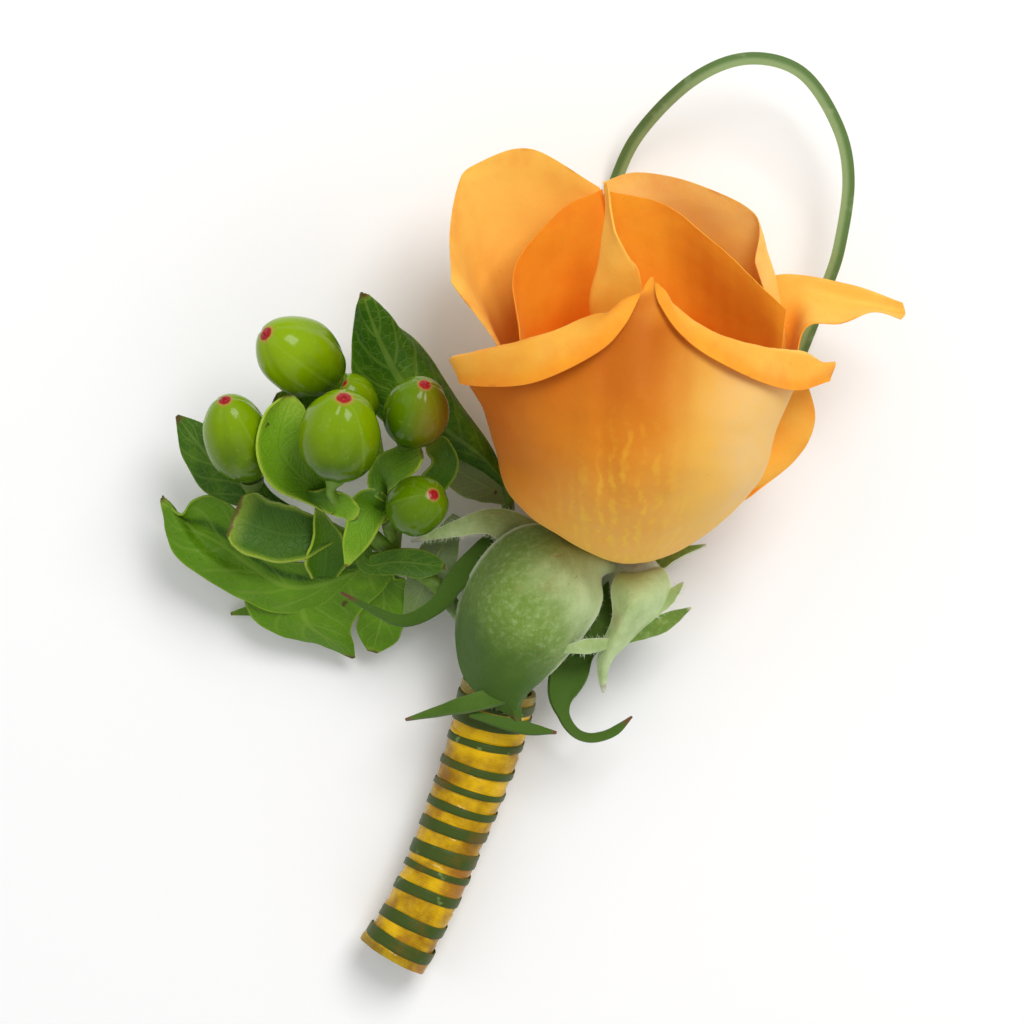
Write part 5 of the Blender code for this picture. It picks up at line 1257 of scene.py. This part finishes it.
class StageSettings(PropertyGroup):
    floor_colour: colour("Floor", "Plain pale floor", 250, 250, 250)
    key_light: FloatProperty(name="Key light", description="Main soft light", default=3.2, unit="POWER")
    fill_light: FloatProperty(name="Fill light", description="Light from the left", default=0.4, unit="POWER")
    front_light: FloatProperty(name="Front light", description="Light from the handle's side", default=0.3,
                               unit="POWER")
    sky_light: FloatProperty(name="Sky", description="Even light from all round", default=0.52)


SETTINGS = {"flower_rose": RoseSettings, "flower_hypericum": HypericumSettings, "flower_grass": GrassSettings,
            "flower_handle": HandleSettings, "flower_stage": StageSettings}


class FLOWER_OT_rose_bloom(Operator):
    """Build the rose's petals"""
    bl_idname = "flower.rose_bloom"
    bl_label = "Rose bloom"

    def execute(self, context):
        build_bloom(context.scene.flower_rose)
        return {"FINISHED"}


class FLOWER_OT_rose_calyx(Operator):
    """Build the rose's hip, sepals and stem"""
    bl_idname = "flower.rose_calyx"
    bl_label = "Rose calyx"

    def execute(self, context):
        build_calyx(context.scene.flower_rose)
        return {"FINISHED"}


class FLOWER_OT_hypericum(Operator):
    """Build the hypericum's twigs and leaves"""
    bl_idname = "flower.hypericum"
    bl_label = "Hypericum"

    def execute(self, context):
        build_twigs(context.scene.flower_hypericum)
        build_leaves(context.scene.flower_hypericum)
        return {"FINISHED"}


class FLOWER_OT_berries(Operator):
    """Build the hypericum's berries"""
    bl_idname = "flower.berries"
    bl_label = "Berries"

    def execute(self, context):
        build_berries(context.scene.flower_hypericum)
        return {"FINISHED"}


class FLOWER_OT_grass_loop(Operator):
    """Build the loop of bear grass"""
    bl_idname = "flower.grass_loop"
    bl_label = "Grass loop"

    def execute(self, context):
        build_loop(context.scene.flower_grass)
        return {"FINISHED"}


class FLOWER_OT_handle(Operator):
    """Build the ribbon and the grass wound round it"""
    bl_idname = "flower.handle"
    bl_label = "Handle"

    def execute(self, context):
        build_ribbon(context.scene.flower_handle)
        build_winding(context.scene.flower_grass)
        return {"FINISHED"}


class FLOWER_OT_stage(Operator):
    """Build the floor, the lights and the camera"""
    bl_idname = "flower.stage"
    bl_label = "Stage"

    def execute(self, context):
        build_stage(context.scene.flower_stage)
        return {"FINISHED"}


OPERATORS = (FLOWER_OT_stage, FLOWER_OT_rose_bloom, FLOWER_OT_rose_calyx, FLOWER_OT_hypericum,
             FLOWER_OT_berries, FLOWER_OT_grass_loop, FLOWER_OT_handle)


class FLOWER_PT_panel(Panel):
    """Lists the flower's settings and the operators that build it"""
    bl_idname = "FLOWER_PT_panel"
    bl_label = "Buttonhole flower"
    bl_space_type = "VIEW_3D"
    bl_region_type = "UI"
    bl_category = "Flower"

    def draw(self, context):
        for name, group in SETTINGS.items():
            box = self.layout.box()
            settings = getattr(context.scene, name)
            for setting in group.__annotations__:
                box.prop(settings, setting)
        for operator in OPERATORS:
            self.layout.operator(operator.bl_idname)


def register():
    for group in (*SETTINGS.values(), *OPERATORS, FLOWER_PT_panel):
        bpy.utils.register_class(group)
    for name, group in SETTINGS.items():
        setattr(bpy.types.Scene, name, PointerProperty(type=group))


def unregister():
    for name in SETTINGS:
        delattr(bpy.types.Scene, name)
    for group in reversed((*SETTINGS.values(), *OPERATORS, FLOWER_PT_panel)):
        bpy.utils.unregister_class(group)


def main():
    register()
    bpy.ops.flower.stage()
    bpy.ops.flower.rose_bloom()
    bpy.ops.flower.rose_calyx()
    bpy.ops.flower.hypericum()
    bpy.ops.flower.berries()
    bpy.ops.flower.grass_loop()
    bpy.ops.flower.handle()
    bpy.context.view_layer.update()


if __name__ == "__main__":
    main()
